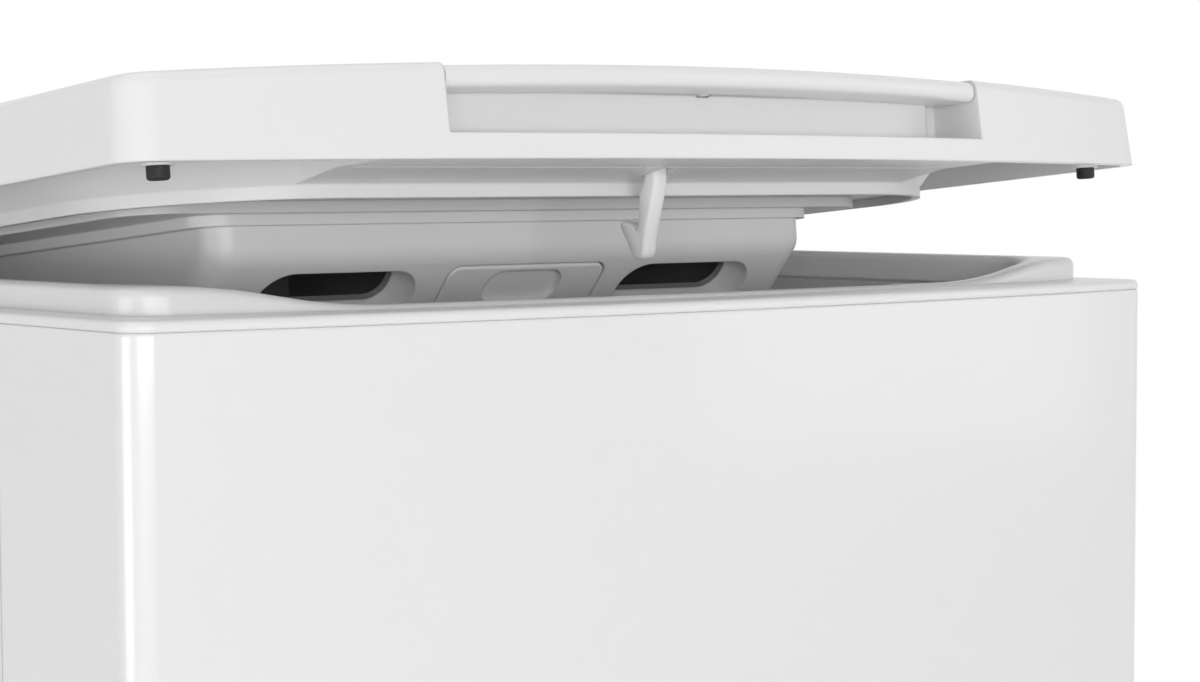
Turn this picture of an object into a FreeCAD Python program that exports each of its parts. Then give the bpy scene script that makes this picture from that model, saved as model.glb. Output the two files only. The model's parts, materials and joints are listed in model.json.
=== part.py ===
import FreeCAD, Part
import math
import os

V = FreeCAD.Vector

# Slim top-loading washing machine. Millimetres, +X to the right seen from the front,
# +Y to the back, +Z up. The origin is on the floor under the middle of the machine.

# Cabinet
WIDTH = 400.0
DEPTH = 570.0
FRONT_BOW = 15.0
SEAM_Z = 850.0
CORNER_RADIUS = 8.0
REAR_RADIUS = 4.0
SHEET = 1.2
PANEL_RETURN = 70.0
PANEL_EDGE = 0.8
PANEL_GAP = 0.6
TOP_FLANGE = 9.0
SIDE_FIELD_DEPTH = 1.5
SIDE_FIELD_MARGIN = 45.0
SPIGOT_REACH = 15.0
FIT = 0.3

# Base, feet and plinth
FOOT_HEIGHT = 20.0
FOOT_RADIUS = 20.0
FOOT_STUD_RADIUS = 5.0
FOOT_INSET = 42.0
BASE_INSET = 4.0
BASE_HEIGHT = 58.0
BASE_WALL = 3.0
KICK_TOP = 92.0
KICK_WALL = 2.5
FILTER_DOOR_WIDTH = 104.0
FILTER_DOOR_HEIGHT = 50.0
FILTER_DOOR_BOTTOM = 34.0
DOOR_GAP = 0.6
FILTER_CAP_RADIUS = 26.0

# Top frame with its raised rim, funnel and mouth
FRAME_THICKNESS = 3.2
RIM_HEIGHT = 10.8
RIM_DIP = 6.6
RIM_INSET = 10.5
RIM_FRONT_INSET = 18.0
RIM_WALL = 8.0
RIM_FOOT = 1.2
RIM_FOOT_HEIGHT = 0.9
RIM_HINGE_GAP = 18.0
RIM_RADIUS = 13.0
RIM_INNER_RADIUS = 32.0
RIM_ROUNDING = 2.8
FRAME_ROUNDING = 1.9
LEDGE_RISE = 0.0
FUNNEL_INSET = 20.0
FUNNEL_FRONT_INSET = 72.0
FUNNEL_WALL = 3.0
FUNNEL_DROP = 62.0
MOUTH_SIDE_ROOM = 22.0
MOUTH_FRONT_Y = -175.0
MOUTH_BACK_Y = 55.0
MOUTH_RADIUS = 40.0
COLLAR_DROP = 22.0

# Lid, in its closed place
LID_SIDE_GAP = 1.0
LID_FRONT_GAP = 0.7
LID_CORNER_RADIUS = 10.0
LID_BUMPER_HEIGHT = 3.7
LID_MIDDLE_HEIGHT = 28.0
LID_CROWN = 5.5
LID_DRAFT_DEG = 3.7
LID_WALL = 3.0
LID_TOP_ROUNDING = 3.0
LID_REACH = 415.0
LID_REAR_OVERHANG = 10.0
HINGE_RISE = 11.0
HINGE_PIN_RADIUS = 3.0
HINGE_RUNNING = 0.05
HINGE_INSET = 28.0
HINGE_KNUCKLE = 20.0
HINGE_POST = 9.0
LID_AJAR_DEG = 4.97
BUMPER_RADIUS = 3.1
BUMPER_INSET = 15.8
BUMPER_SETBACK = 11.8
BUMPER_BOSS = 4.2

# Handle pocket, grip and latch
POCKET_SHARE = 0.53
POCKET_FLOOR = 7.2
POCKET_DEPTH = 25.0
POCKET_WALL = 2.5
GRIP_LIP = 6.3
GRIP_SINK = 0.8
GRIP_GAP = 0.7
GRIP_REAR_GAP = 1.6
GRIP_PLATE = 2.5
GRIP_PLATE_SETBACK = 20.0
GRIP_PLATE_INSET = 9.0
GRIP_PLATE_GAP = 1.6
GRIP_BAR = 5.0
LATCH_PIN_RADIUS = 1.5
LATCH_BOSS = 2.6
LATCH_RISE = 2.2
LATCH_EDGE = 1.0
LATCH_THICKNESS = 4.4
LATCH_BACKSET = 40.4
LATCH_STEM = 4.4
LATCH_LEAN = 7.2
LATCH_DROP = 25.8
LATCH_BARB = 6.0
LATCH_SLOT = 9.0
LATCH_ROOM = 4.0
BOLT_LENGTH = 13.0
BOLT_THICKNESS = 2.4

# Lid liner
LINER_LEVEL = 9.0
LINER_WALL = 2.0
LINER_INSET = 34.0
LINER_FRONT_INSET = 40.0
LINER_BACKSET = 38.0
LINER_RADIUS = 58.0
LINER_SLOPE = 9.5
LINER_LIP = 3.8
LINER_LIP_WALL = 2.6
LINER_LIP_BOTTOM = 6.3
LINER_DEPTH = 3.5
APRON_SLOPE = 20.0
APRON_RISE = 0.6
APRON_GROOVE = 2.2
APRON_GROOVE_DEPTH = 1.2
APRON_SHARE = 0.61

# Detergent dispenser under the lid
TRAY_STEP_SHARE = 0.75
TRAY_STEP_FRONT = 84.0
TRAY_STEP_DEPTH = 3.5
TRAY_STEP_RADIUS = 15.0
TRAY_FLANGE = 4.0
TRAY_FLANGE_DEPTH = 3.5
TRAY_SHARE = 0.6075
TRAY_FRONT = 88.3
TRAY_LENGTH = 150.0
TRAY_FACE = 9.9
TRAY_SLANT = 26.0
TRAY_WALL = 2.5
TRAY_EDGE_RADIUS = 9.0
TRAY_CORNER_RADIUS = 8.5
TRAY_SIDE_WALL = 5.5
WINDOW_SHARE = 0.1475
WINDOW_OFFSET_SHARE = 0.17875
WINDOW_RADIUS = 11.0
WINDOW_MARGIN = 6.5
WINDOW_DEPTH = 9.0
WINDOW_TAPER = 4.0
WINDOW_FRAME = 2.0
RELEASE_SHARE = 0.1625
RELEASE_MARGIN = 5.0
RELEASE_GAP = 0.7
RELEASE_RADIUS = 5.0
RELEASE_TRAVEL = 3.0
CUP_WALL = 1.6

# Console
CONSOLE_LID_GAP = 11.0
CONSOLE_FRONT_RISE = 26.0
CONSOLE_BACK_RISE = 50.0
CONSOLE_WALL = 3.0
CONSOLE_ROUNDING = 4.0
FASCIA_THICKNESS = 3.0
FASCIA_MARGIN = 13.0
KNOB_RADIUS = 24.0
KNOB_HEIGHT = 20.0
KNOB_SHARE = -0.625
KNOB_FLUTES = 18
DISPLAY_WIDTH = 86.0
DISPLAY_HEIGHT = 34.0
DISPLAY_SHARE = -0.1
BUTTON_WIDTH = 20.0
BUTTON_HEIGHT = 11.0
BUTTON_PITCH_SHARE = 0.14
BUTTON_FIRST_SHARE = 0.29
BUTTON_TRAVEL = 1.5
BUTTON_STAND = 2.2
START_RADIUS = 11.0
START_SHARE = 0.775
KNOB_SHAFT_RADIUS = 3.0
BOARD_X = 0.0
BOARD_SIDE_ROOM = 4.0
BOARD_END_ROOM = 18.0
BOARD_DEPTH = 14.0
BOARD_THICKNESS = 1.6
SWITCH_HEIGHT = 4.0

# Tub and drum, turning about an axis along X
AXIS_Y = -20.0
TUB_RADIUS = 240.0
TUB_WALL = 3.5
TUB_SIDE_ROOM = 50.0
TUB_END = 5.0
TUB_RIM = 4.0
TUB_RIBS = 10
TUB_RIB_HEIGHT = 10.0
HUB_RADIUS = 46.0
HUB_LENGTH = 20.0
NECK_TOP_Z = 745.0
NECK_RISE = 25.0
TUB_BOUNCE = 8.0
BEARING_RADIUS = 31.0
BEARING_WIDTH = 15.0
AXLE_RADIUS = 15.0
SEAL_RADIUS = 24.0
DRUM_GAP = 25.0
DRUM_END_ROOM = 22.0
DRUM_SHEET = 1.0
DRUM_END = 3.0
SPIDER_RADIUS = 60.0
SPIDER_THICKNESS = 10.0
PADDLE_HEIGHT = 42.0
PADDLE_BASE = 56.0
DOOR_LEAN_DEG = 10.0
DOOR_HALF_DEG = 27.0
DOOR_END_ROOM = 33.0
DOOR_SHEET = 1.2
DOOR_ROLL_RADIUS = 3.4
DOOR_PIN_RADIUS = 1.6
DOOR_PIN_RUNNING = 0.05

# Drive
PULLEY_RADIUS = 140.0
PULLEY_WIDTH = 12.0
PULLEY_REACH = 40.0
MOTOR_PULLEY_RADIUS = 9.0
MOTOR_RADIUS = 60.0
MOTOR_LENGTH = 104.0
MOTOR_Y = 62.0
MOTOR_DROP = 56.0
MOTOR_SHAFT_RADIUS = 6.0
BELT_THICKNESS = 3.0
BELT_CLEARANCE = 0.3

# Suspension
SPRING_INSET = 22.0
SPRING_RADIUS = 13.0
SPRING_WIRE = 3.0
SPRING_TURNS = 7
SPRING_TOP_Z = 782.0
SPRING_DROP = 56.0
RAIL_WIDTH = 36.0
RAIL_HEIGHT = 26.0
DAMPER_X = 70.0
DAMPER_Y = -30.0
DAMPER_RADIUS = 16.0
DAMPER_ROD_RADIUS = 8.0
DAMPER_TOP_Z = 150.0
DAMPER_PAD_DROP = 8.0
WEIGHT_THICKNESS = 36.0
WEIGHT_END_ROOM = 40.0
WEIGHT_SPAN_DEG = 44.0
WEIGHT_ANGLES = (138.0, 235.0)

# Water and electrics
PUMP_INSET = 95.0
PUMP_RADIUS = 34.0
PUMP_Z = 58.0
PUMP_LENGTH = 90.0
SUMP_X = 20.0
SUMP_Y = -70.0
SUMP_RADIUS = 16.0
DRAIN_RADIUS = 10.0
DRAIN_INSET = 24.0
DRAIN_RUN_Z = 72.0
DRAIN_OUT_INSET = 60.0
DRAIN_Z = 640.0
INLET_RADIUS = 13.2
INLET_SHARE = -0.6
INLET_Z = 800.0
HOSE_RADIUS = 8.0
HEATER_RADIUS = 4.0
HEATER_DEG = 8.0
GLAND_SHARE = -0.3
GLAND_RADIUS = 8.0
TRANSIT_SHARE = 0.75
TRANSIT_SPACING_Z = 280.0
TRANSIT_RADIUS = 6.0

# Values that follow from the sizes above
HALF_WIDTH = WIDTH / 2
AXIS_Z = NECK_TOP_Z - NECK_RISE - TUB_RADIUS
DRUM_RADIUS = TUB_RADIUS - DRUM_GAP
SPRING_BOTTOM_Z = AXIS_Z + TUB_RADIUS - SPRING_DROP
DAMPER_PAD_Z = AXIS_Z - TUB_RADIUS - DAMPER_PAD_DROP
MOTOR_Z = AXIS_Z - TUB_RADIUS - MOTOR_DROP
TRANSIT_Z = AXIS_Z
FRONT_Y = -DEPTH / 2
BACK_Y = DEPTH / 2
FRAME_TOP_Z = SEAM_Z + FRAME_THICKNESS
LID_HALF = HALF_WIDTH - LID_SIDE_GAP
LID_FRONT_Y = FRONT_Y + LID_FRONT_GAP
LID_BOTTOM_Z = FRAME_TOP_Z + LID_BUMPER_HEIGHT
LID_NOSE_Y = LID_FRONT_Y - FRONT_BOW
HINGE_Y = FRONT_Y + LID_REACH
HINGE_Z = LID_BOTTOM_Z + HINGE_RISE
LID_REAR_Y = HINGE_Y + LID_REAR_OVERHANG
RIM_REAR_Y = HINGE_Y - RIM_HINGE_GAP
HINGE_X = HALF_WIDTH - HINGE_INSET
TUB_LENGTH = WIDTH - 2 * TUB_SIDE_ROOM
TUB_HALF = TUB_LENGTH / 2
DRUM_LENGTH = TUB_LENGTH - 2 * DRUM_END_ROOM
DRUM_HALF = DRUM_LENGTH / 2
DOOR_WIDTH = DRUM_LENGTH - 2 * DOOR_END_ROOM
MOUTH_WIDTH = TUB_LENGTH - 2 * MOUTH_SIDE_ROOM
MOUTH_HALF = MOUTH_WIDTH / 2
MOUTH_Z = SEAM_Z - FUNNEL_DROP
COLLAR_Z = MOUTH_Z - COLLAR_DROP
POCKET_WIDTH = POCKET_SHARE * WIDTH
GRIP_REAR_Y = LID_NOSE_Y + POCKET_DEPTH - GRIP_REAR_GAP
GRIP_LOW_Z = LID_BOTTOM_Z + LID_MIDDLE_HEIGHT - GRIP_SINK - GRIP_LIP
LATCH_Y = GRIP_REAR_Y - GRIP_BAR / 2
LATCH_Z = GRIP_LOW_Z + LATCH_RISE
LATCH_STEM_Y = LID_NOSE_Y + LATCH_BACKSET
LATCH_TIP_Z = LID_BOTTOM_Z - LATCH_DROP
APRON_HALF = APRON_SHARE * HALF_WIDTH
TRAY_STEP_WIDTH = TRAY_STEP_SHARE * WIDTH
TRAY_WIDTH = TRAY_SHARE * WIDTH
WINDOW_WIDTH = WINDOW_SHARE * WIDTH
WINDOW_OFFSET = WINDOW_OFFSET_SHARE * WIDTH
RELEASE_WIDTH = RELEASE_SHARE * WIDTH
TRAY_FRONT_Y = FRONT_Y + TRAY_FRONT
TRAY_TOP_Z = LID_BOTTOM_Z - LINER_DEPTH - TRAY_STEP_DEPTH - TRAY_FLANGE_DEPTH
TRAY_KNEE_Z = TRAY_TOP_Z - TRAY_FACE
TRAY_BOTTOM_Z = TRAY_KNEE_Z - TRAY_SLANT
CONSOLE_FRONT_Y = LID_REAR_Y + CONSOLE_LID_GAP
CONSOLE_SLOPE_DEG = math.degrees(
    math.atan2(CONSOLE_BACK_RISE - CONSOLE_FRONT_RISE, BACK_Y - CONSOLE_FRONT_Y)
)
CONSOLE_SLOPE_LENGTH = math.hypot(
    CONSOLE_BACK_RISE - CONSOLE_FRONT_RISE, BACK_Y - CONSOLE_FRONT_Y
)
BOARD_WIDTH = WIDTH - 2 * FASCIA_MARGIN - 2 * BOARD_SIDE_ROOM
BOARD_LENGTH = CONSOLE_SLOPE_LENGTH - 2 * FASCIA_MARGIN - 2 * BOARD_END_ROOM
KNOB_X = KNOB_SHARE * HALF_WIDTH
DISPLAY_X = DISPLAY_SHARE * HALF_WIDTH
BUTTON_FIRST_X = BUTTON_FIRST_SHARE * HALF_WIDTH
BUTTON_PITCH = BUTTON_PITCH_SHARE * HALF_WIDTH
START_X = START_SHARE * HALF_WIDTH
PULLEY_FACE_X = -TUB_HALF - PULLEY_REACH
WEIGHT_LENGTH = TUB_LENGTH - 2 * WEIGHT_END_ROOM
SPRING_X = HALF_WIDTH - SPRING_INSET
PUMP_X = HALF_WIDTH - PUMP_INSET
FILTER_DOOR_X = PUMP_X
DRAIN_X = HALF_WIDTH - DRAIN_INSET
DRAIN_OUT_X = HALF_WIDTH - DRAIN_OUT_INSET
INLET_X = INLET_SHARE * HALF_WIDTH
GLAND_X = GLAND_SHARE * HALF_WIDTH
TRANSIT_SPACING_X = TRANSIT_SHARE * WIDTH


def block(x, y, z):
    """A box between two limits on each axis."""
    return Part.makeBox(x[1] - x[0], y[1] - y[0], z[1] - z[0], V(x[0], y[0], z[0]))


def rod(radius, start, end):
    """A round bar from one point to another."""
    way = end - start
    return Part.makeCylinder(radius, way.Length, start, way)


def tube(outer, inner, start, end):
    return rod(outer, start, end).cut(rod(inner, start, end))


def mirrored(point):
    return V(-point.x, point.y, point.z)


def outline(half, front, rear, bow, front_radius, rear_radius, z):
    """A closed plan outline with a bowed front, straight sides and rounded corners."""
    if bow > 0:
        big = (half**2 + bow**2) / (2 * bow)
        middle = V(0, front - bow + big, z)
        sag = math.sqrt((big - front_radius) ** 2 - (half - front_radius) ** 2)
        centre = V(half - front_radius, middle.y - sag, z)
        touch = middle + (centre - middle) * (big / (big - front_radius))
    else:
        centre = V(half - front_radius, front + front_radius, z)
        touch = V(half - front_radius, front, z)
    side = V(half, centre.y, z)
    between = (touch - centre) + (side - centre)
    bend = centre + between * (front_radius / between.Length)
    back = V(half, rear - rear_radius, z)
    heel = V(half - rear_radius, rear, z)
    turn = math.sqrt(0.5) * rear_radius
    heel_bend = V(half - rear_radius + turn, rear - rear_radius + turn, z)
    edges = [
        Part.Arc(touch, bend, side).toShape(),
        Part.LineSegment(side, back).toShape(),
        Part.Arc(back, heel_bend, heel).toShape(),
        Part.LineSegment(heel, mirrored(heel)).toShape(),
        Part.Arc(mirrored(heel), mirrored(heel_bend), mirrored(back)).toShape(),
        Part.LineSegment(mirrored(back), mirrored(side)).toShape(),
        Part.Arc(mirrored(side), mirrored(bend), mirrored(touch)).toShape(),
    ]
    if bow > 0:
        edges.append(Part.Arc(mirrored(touch), V(0, front - bow, z), touch).toShape())
    else:
        edges.append(Part.LineSegment(mirrored(touch), touch).toShape())
    return Part.Wire(edges)


def slab(wire, height):
    return Part.Face(wire).extrude(V(0, 0, height))


def frustum(lower, upper):
    """A solid with straight sides from one outline to another."""
    return Part.makeLoft([lower, upper], True, True)


def cabinet_outline(inset, z):
    return outline(
        HALF_WIDTH - inset,
        FRONT_Y + inset,
        BACK_Y - inset,
        FRONT_BOW,
        max(CORNER_RADIUS - inset, SHEET),
        max(REAR_RADIUS - inset, SHEET),
        z,
    )


def cabinet_ring(inset, wall, z0, z1):
    outer = slab(cabinet_outline(inset, z0), z1 - z0)
    return outer.cut(slab(cabinet_outline(inset + wall, z0), z1 - z0))


def front_part(shape):
    """What of a cabinet ring belongs to the front, as far back as the panel's return."""
    reach = block(
        (-WIDTH, WIDTH), (FRONT_Y - 2 * FRONT_BOW, FRONT_Y + PANEL_RETURN), (-1, 2 * SEAM_Z)
    )
    return shape.common(reach)


def polygon(points):
    return Part.Face(Part.makePolygon(points + [points[0]]))


def side_profile(points, half_length, x=0.0):
    """A shape drawn in the Y-Z plane and drawn out to both sides along X."""
    face = polygon([V(x - half_length, y, z) for y, z in points])
    return face.extrude(V(2 * half_length, 0, 0))


def round_edges(shape, radius, chosen):
    """Rounds the edges that the given test picks."""
    return shape.makeFillet(radius, [e for e in shape.Edges if chosen(e)])


def along_x(edge):
    if edge.Curve.TypeId != "Part::GeomLine":
        return False
    return abs(edge.Curve.Direction.x) > 0.999


def upright(edge):
    if edge.Curve.TypeId != "Part::GeomLine":
        return False
    return abs(edge.Curve.Direction.z) > 0.999


def turned_about_hinge(shape, angle):
    """The lid opens by turning its front edge up about the hinge pins."""
    moved = shape.copy()
    moved.rotate(V(0, HINGE_Y, HINGE_Z), V(1, 0, 0), -angle)
    return moved


def about_axis(shape, angle):
    moved = shape.copy()
    moved.rotate(V(0, AXIS_Y, AXIS_Z), V(1, 0, 0), angle)
    return moved


def bent_path(points, radius):
    """Straight runs joined by tangent arcs of one radius."""
    edges = []
    last = points[0]
    for before, corner, after in zip(points, points[1:], points[2:]):
        into = (before - corner).normalize()
        away = (after - corner).normalize()
        half = into.getAngle(away) / 2
        back = radius / math.tan(half)
        inward = (into + away).normalize()
        start = corner + into * back
        end = corner + away * back
        bend = corner + inward * (radius / math.sin(half) - radius)
        edges.append(Part.LineSegment(last, start).toShape())
        edges.append(Part.Arc(start, bend, end).toShape())
        last = end
    edges.append(Part.LineSegment(last, points[-1]).toShape())
    return Part.Wire(edges)


def pipe(points, bend_radius, radius):
    """A round bar along bent runs."""
    path = bent_path(points, bend_radius)
    way = points[1] - points[0]
    ring = Part.Wire([Part.makeCircle(radius, points[0], way)])
    return path.makePipe(Part.Face(ring))


# Base, feet and plinth


def foot_places():
    for x in (-1, 1):
        for y in (FRONT_Y + FOOT_INSET, BACK_Y - FOOT_INSET):
            yield V(x * (HALF_WIDTH - FOOT_INSET), y, 0)


def levelling_feet():
    feet = []
    for place in foot_places():
        pad = Part.makeCone(FOOT_RADIUS, FOOT_RADIUS * 0.8, FOOT_HEIGHT, place)
        stud_top = place + V(0, 0, FOOT_HEIGHT + BASE_HEIGHT * 0.6)
        stud = rod(FOOT_STUD_RADIUS, place + V(0, 0, FOOT_HEIGHT), stud_top)
        feet.append(pad.fuse(stud).removeSplitter())
    return Part.makeCompound(feet)


def base_pan():
    floor = FOOT_HEIGHT + BASE_WALL
    pan = slab(cabinet_outline(BASE_INSET, FOOT_HEIGHT), BASE_HEIGHT)
    pan = pan.cut(slab(cabinet_outline(BASE_INSET + BASE_WALL, floor), BASE_HEIGHT))
    boss_top = FOOT_HEIGHT + BASE_HEIGHT * 0.6
    for place in foot_places():
        pan = pan.fuse(rod(FOOT_RADIUS * 0.7, place + V(0, 0, FOOT_HEIGHT), place + V(0, 0, boss_top)))
    beside = DAMPER_RADIUS + 8
    rib_y = (DAMPER_Y - beside, DAMPER_Y + beside, BACK_Y - 2 * FOOT_INSET - FOOT_RADIUS)
    for y in rib_y:
        across = HALF_WIDTH - BASE_INSET - BASE_WALL
        rail = block((-across, across), (y - BASE_WALL / 2, y + BASE_WALL / 2), (FOOT_HEIGHT, floor + 12))
        pan = pan.fuse(rail)
    for place in foot_places():
        bore = rod(FOOT_STUD_RADIUS, place + V(0, 0, FOOT_HEIGHT - 1), place + V(0, 0, boss_top + 1))
        pan = pan.cut(bore)
    cap_clear = FILTER_CAP_RADIUS + 4
    window = block(
        (PUMP_X - cap_clear, PUMP_X + cap_clear),
        (FRONT_Y - 2 * FRONT_BOW, FRONT_Y + PANEL_RETURN),
        (PUMP_Z - cap_clear, PUMP_Z + cap_clear),
    )
    return pan.cut(window).removeSplitter()


def filter_door_frame():
    """Centre of the flap's lower edge on the bowed front, and the chord direction there."""
    def surface(x):
        return FRONT_Y - FRONT_BOW * (1 - (x / HALF_WIDTH) ** 2)

    left = FILTER_DOOR_X - FILTER_DOOR_WIDTH / 2
    right = FILTER_DOOR_X + FILTER_DOOR_WIDTH / 2
    chord = V(right - left, surface(right) - surface(left), 0).normalize()
    place = V(FILTER_DOOR_X, surface(FILTER_DOOR_X) + KICK_WALL / 2, FILTER_DOOR_BOTTOM + KICK_WALL)
    return place, chord


def filter_opening(margin):
    half = FILTER_DOOR_WIDTH / 2 + margin
    return block(
        (FILTER_DOOR_X - half, FILTER_DOOR_X + half),
        (FRONT_Y - 2 * FRONT_BOW, FRONT_Y + PANEL_RETURN),
        (FILTER_DOOR_BOTTOM - margin, FILTER_DOOR_BOTTOM + FILTER_DOOR_HEIGHT + margin),
    )


def kick_plate():
    plate = front_part(cabinet_ring(0, KICK_WALL, FOOT_HEIGHT, KICK_TOP - PANEL_GAP))
    return plate.cut(filter_opening(DOOR_GAP))


def filter_door():
    flap = cabinet_ring(0, KICK_WALL, FOOT_HEIGHT, KICK_TOP).common(filter_opening(0))
    place, chord = filter_door_frame()
    notch = place + V(0, 0, FILTER_DOOR_HEIGHT - 2)
    finger = rod(9.0, notch - V(0, KICK_WALL + 8, 0), notch)
    return flap.cut(finger)


# Steel cabinet


def outer_loop(shape, z):
    """The edges round the outside of the widest level face at a height."""
    faces = [f for f in shape.Faces if f.BoundBox.ZLength < 0.01 and abs(f.BoundBox.ZMin - z) < 0.01]
    widest = max(faces, key=lambda f: f.BoundBox.DiagonalLength)
    return widest.OuterWire.Edges


def front_panel():
    panel = cabinet_ring(0, SHEET, KICK_TOP, SEAM_Z)
    panel = panel.fuse(cabinet_ring(SHEET, TOP_FLANGE - SHEET, SEAM_Z - SHEET, SEAM_Z))
    panel = panel.fuse(cabinet_ring(SHEET, TOP_FLANGE - SHEET, KICK_TOP, KICK_TOP + SHEET))
    panel = panel.removeSplitter()
    panel = panel.makeFillet(PANEL_EDGE, outer_loop(panel, SEAM_Z))
    return front_part(panel).removeSplitter()


def side_panel(side):
    """A flat sheet with a shallow pressed field and a flange along the top."""
    front = FRONT_Y + PANEL_RETURN + PANEL_GAP
    rear = BACK_Y - SHEET - PANEL_GAP
    bottom = FOOT_HEIGHT + BASE_HEIGHT + PANEL_GAP
    outer = HALF_WIDTH
    inner = HALF_WIDTH - SHEET
    panel = block((inner, outer), (front, rear), (bottom, SEAM_Z))
    panel = panel.fuse(block((outer - TOP_FLANGE, outer), (front, rear), (SEAM_Z - SHEET, SEAM_Z)))
    panel = panel.fuse(block((outer - TOP_FLANGE, outer), (rear - SHEET, rear), (bottom, SEAM_Z)))
    panel = panel.removeSplitter()
    crest = [e for e in panel.Edges if e.BoundBox.XMin > outer - 0.01 and e.BoundBox.ZMin > SEAM_Z - 0.01]
    panel = panel.makeFillet(PANEL_EDGE, crest)

    def field(x, grow):
        margin = SIDE_FIELD_MARGIN - grow
        y0, y1 = front + margin, rear - margin
        z0, z1 = bottom + margin, SEAM_Z - margin
        corners = [V(x, y0, z0), V(x, y1, z0), V(x, y1, z1), V(x, y0, z1)]
        return Part.makePolygon(corners + corners[:1])

    lean = 2 * SIDE_FIELD_DEPTH
    pad = Part.makeLoft([field(inner, SHEET), field(inner - SIDE_FIELD_DEPTH, SHEET - lean)], True, True)
    dish = Part.makeLoft([field(outer, 0), field(outer - SIDE_FIELD_DEPTH, -lean)], True, True)
    panel = panel.fuse(pad).cut(dish).removeSplitter()
    return panel if side > 0 else panel.mirror(V(0, 0, 0), V(1, 0, 0))


def transit_places():
    for x in (-1, 1):
        for z in (-1, 1):
            yield V(x * TRANSIT_SPACING_X / 2, BACK_Y, TRANSIT_Z + z * TRANSIT_SPACING_Z / 2)


def rear_panel():
    """The back sheet, with stiffening ribs pressed across it and its service holes."""
    across = HALF_WIDTH - REAR_RADIUS
    bottom = FOOT_HEIGHT + BASE_HEIGHT + PANEL_GAP
    sheet = block((-across, across), (BACK_Y - SHEET, BACK_Y), (bottom, SEAM_Z))
    hem_half = HALF_WIDTH - TOP_FLANGE - PANEL_GAP
    hem = block((-hem_half, hem_half), (BACK_Y - TOP_FLANGE, BACK_Y), (SEAM_Z - SHEET, SEAM_Z))
    sheet = sheet.fuse(hem)
    rib_half = across - SIDE_FIELD_MARGIN
    for step in range(4):
        z = bottom + 70 + step * 60
        rib = side_profile([(BACK_Y - SHEET, z - 9), (BACK_Y - SHEET - 3, z - 5),
                            (BACK_Y - SHEET - 3, z + 5), (BACK_Y - SHEET, z + 9)], rib_half)
        groove = side_profile([(BACK_Y, z - 9 + SHEET), (BACK_Y - 3, z - 5 + SHEET / 2),
                               (BACK_Y - 3, z + 5 - SHEET / 2), (BACK_Y, z + 9 - SHEET)], rib_half - SHEET)
        sheet = sheet.fuse(rib).cut(groove)
    through = V(0, 2 * TOP_FLANGE, 0)
    for place in transit_places():
        sheet = sheet.cut(rod(TRANSIT_RADIUS, place - through, place + through))
    for x, z, radius in ((INLET_X, INLET_Z, INLET_RADIUS + 1), (DRAIN_OUT_X, DRAIN_Z, DRAIN_RADIUS + 1),
                         (GLAND_X, INLET_Z, GLAND_RADIUS)):
        place = V(x, BACK_Y, z)
        sheet = sheet.cut(rod(radius, place - through, place + through))
    return sheet.removeSplitter()


def suspension_rails():
    """Two folded steel channels along the sides, which carry the springs."""
    rails = []
    front = FRONT_Y + PANEL_RETURN + 10
    rear = BACK_Y - TOP_FLANGE - 5
    inner_face = HALF_WIDTH - SHEET - SIDE_FIELD_DEPTH - FIT
    bottom = SPRING_TOP_Z
    for side in (-1, 1):
        rail = block((inner_face - RAIL_WIDTH, inner_face), (front, rear), (bottom, bottom + RAIL_HEIGHT))
        hollow = block((inner_face - RAIL_WIDTH - 1, inner_face - 2), (front - 1, rear + 1),
                       (bottom + 2, bottom + RAIL_HEIGHT - 2))
        rail = rail.cut(hollow)
        rails.append(rail if side > 0 else rail.mirror(V(0, 0, 0), V(1, 0, 0)))
    return Part.makeCompound(rails)


# Top frame


def rim_outline(inset, z):
    radius = RIM_RADIUS if inset == 0 else RIM_INNER_RADIUS
    return outline(
        HALF_WIDTH - RIM_INSET - inset, FRONT_Y + RIM_FRONT_INSET + inset, RIM_REAR_Y - inset, FRONT_BOW,
        radius, radius, z,
    )


def funnel_outline(inset, z):
    return outline(
        HALF_WIDTH - RIM_INSET - RIM_WALL - FUNNEL_INSET + FUNNEL_INSET / 2 - inset,
        FRONT_Y + FUNNEL_FRONT_INSET + inset,
        RIM_REAR_Y - RIM_WALL - FUNNEL_INSET / 2 - inset,
        FRONT_BOW,
        45.0 - inset,
        40.0 - inset,
        z,
    )


def mouth_outline(inset, z):
    return outline(
        MOUTH_HALF - inset, MOUTH_FRONT_Y + inset, MOUTH_BACK_Y - inset, 6.0,
        MOUTH_RADIUS - inset, MOUTH_RADIUS - inset, z,
    )


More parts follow.
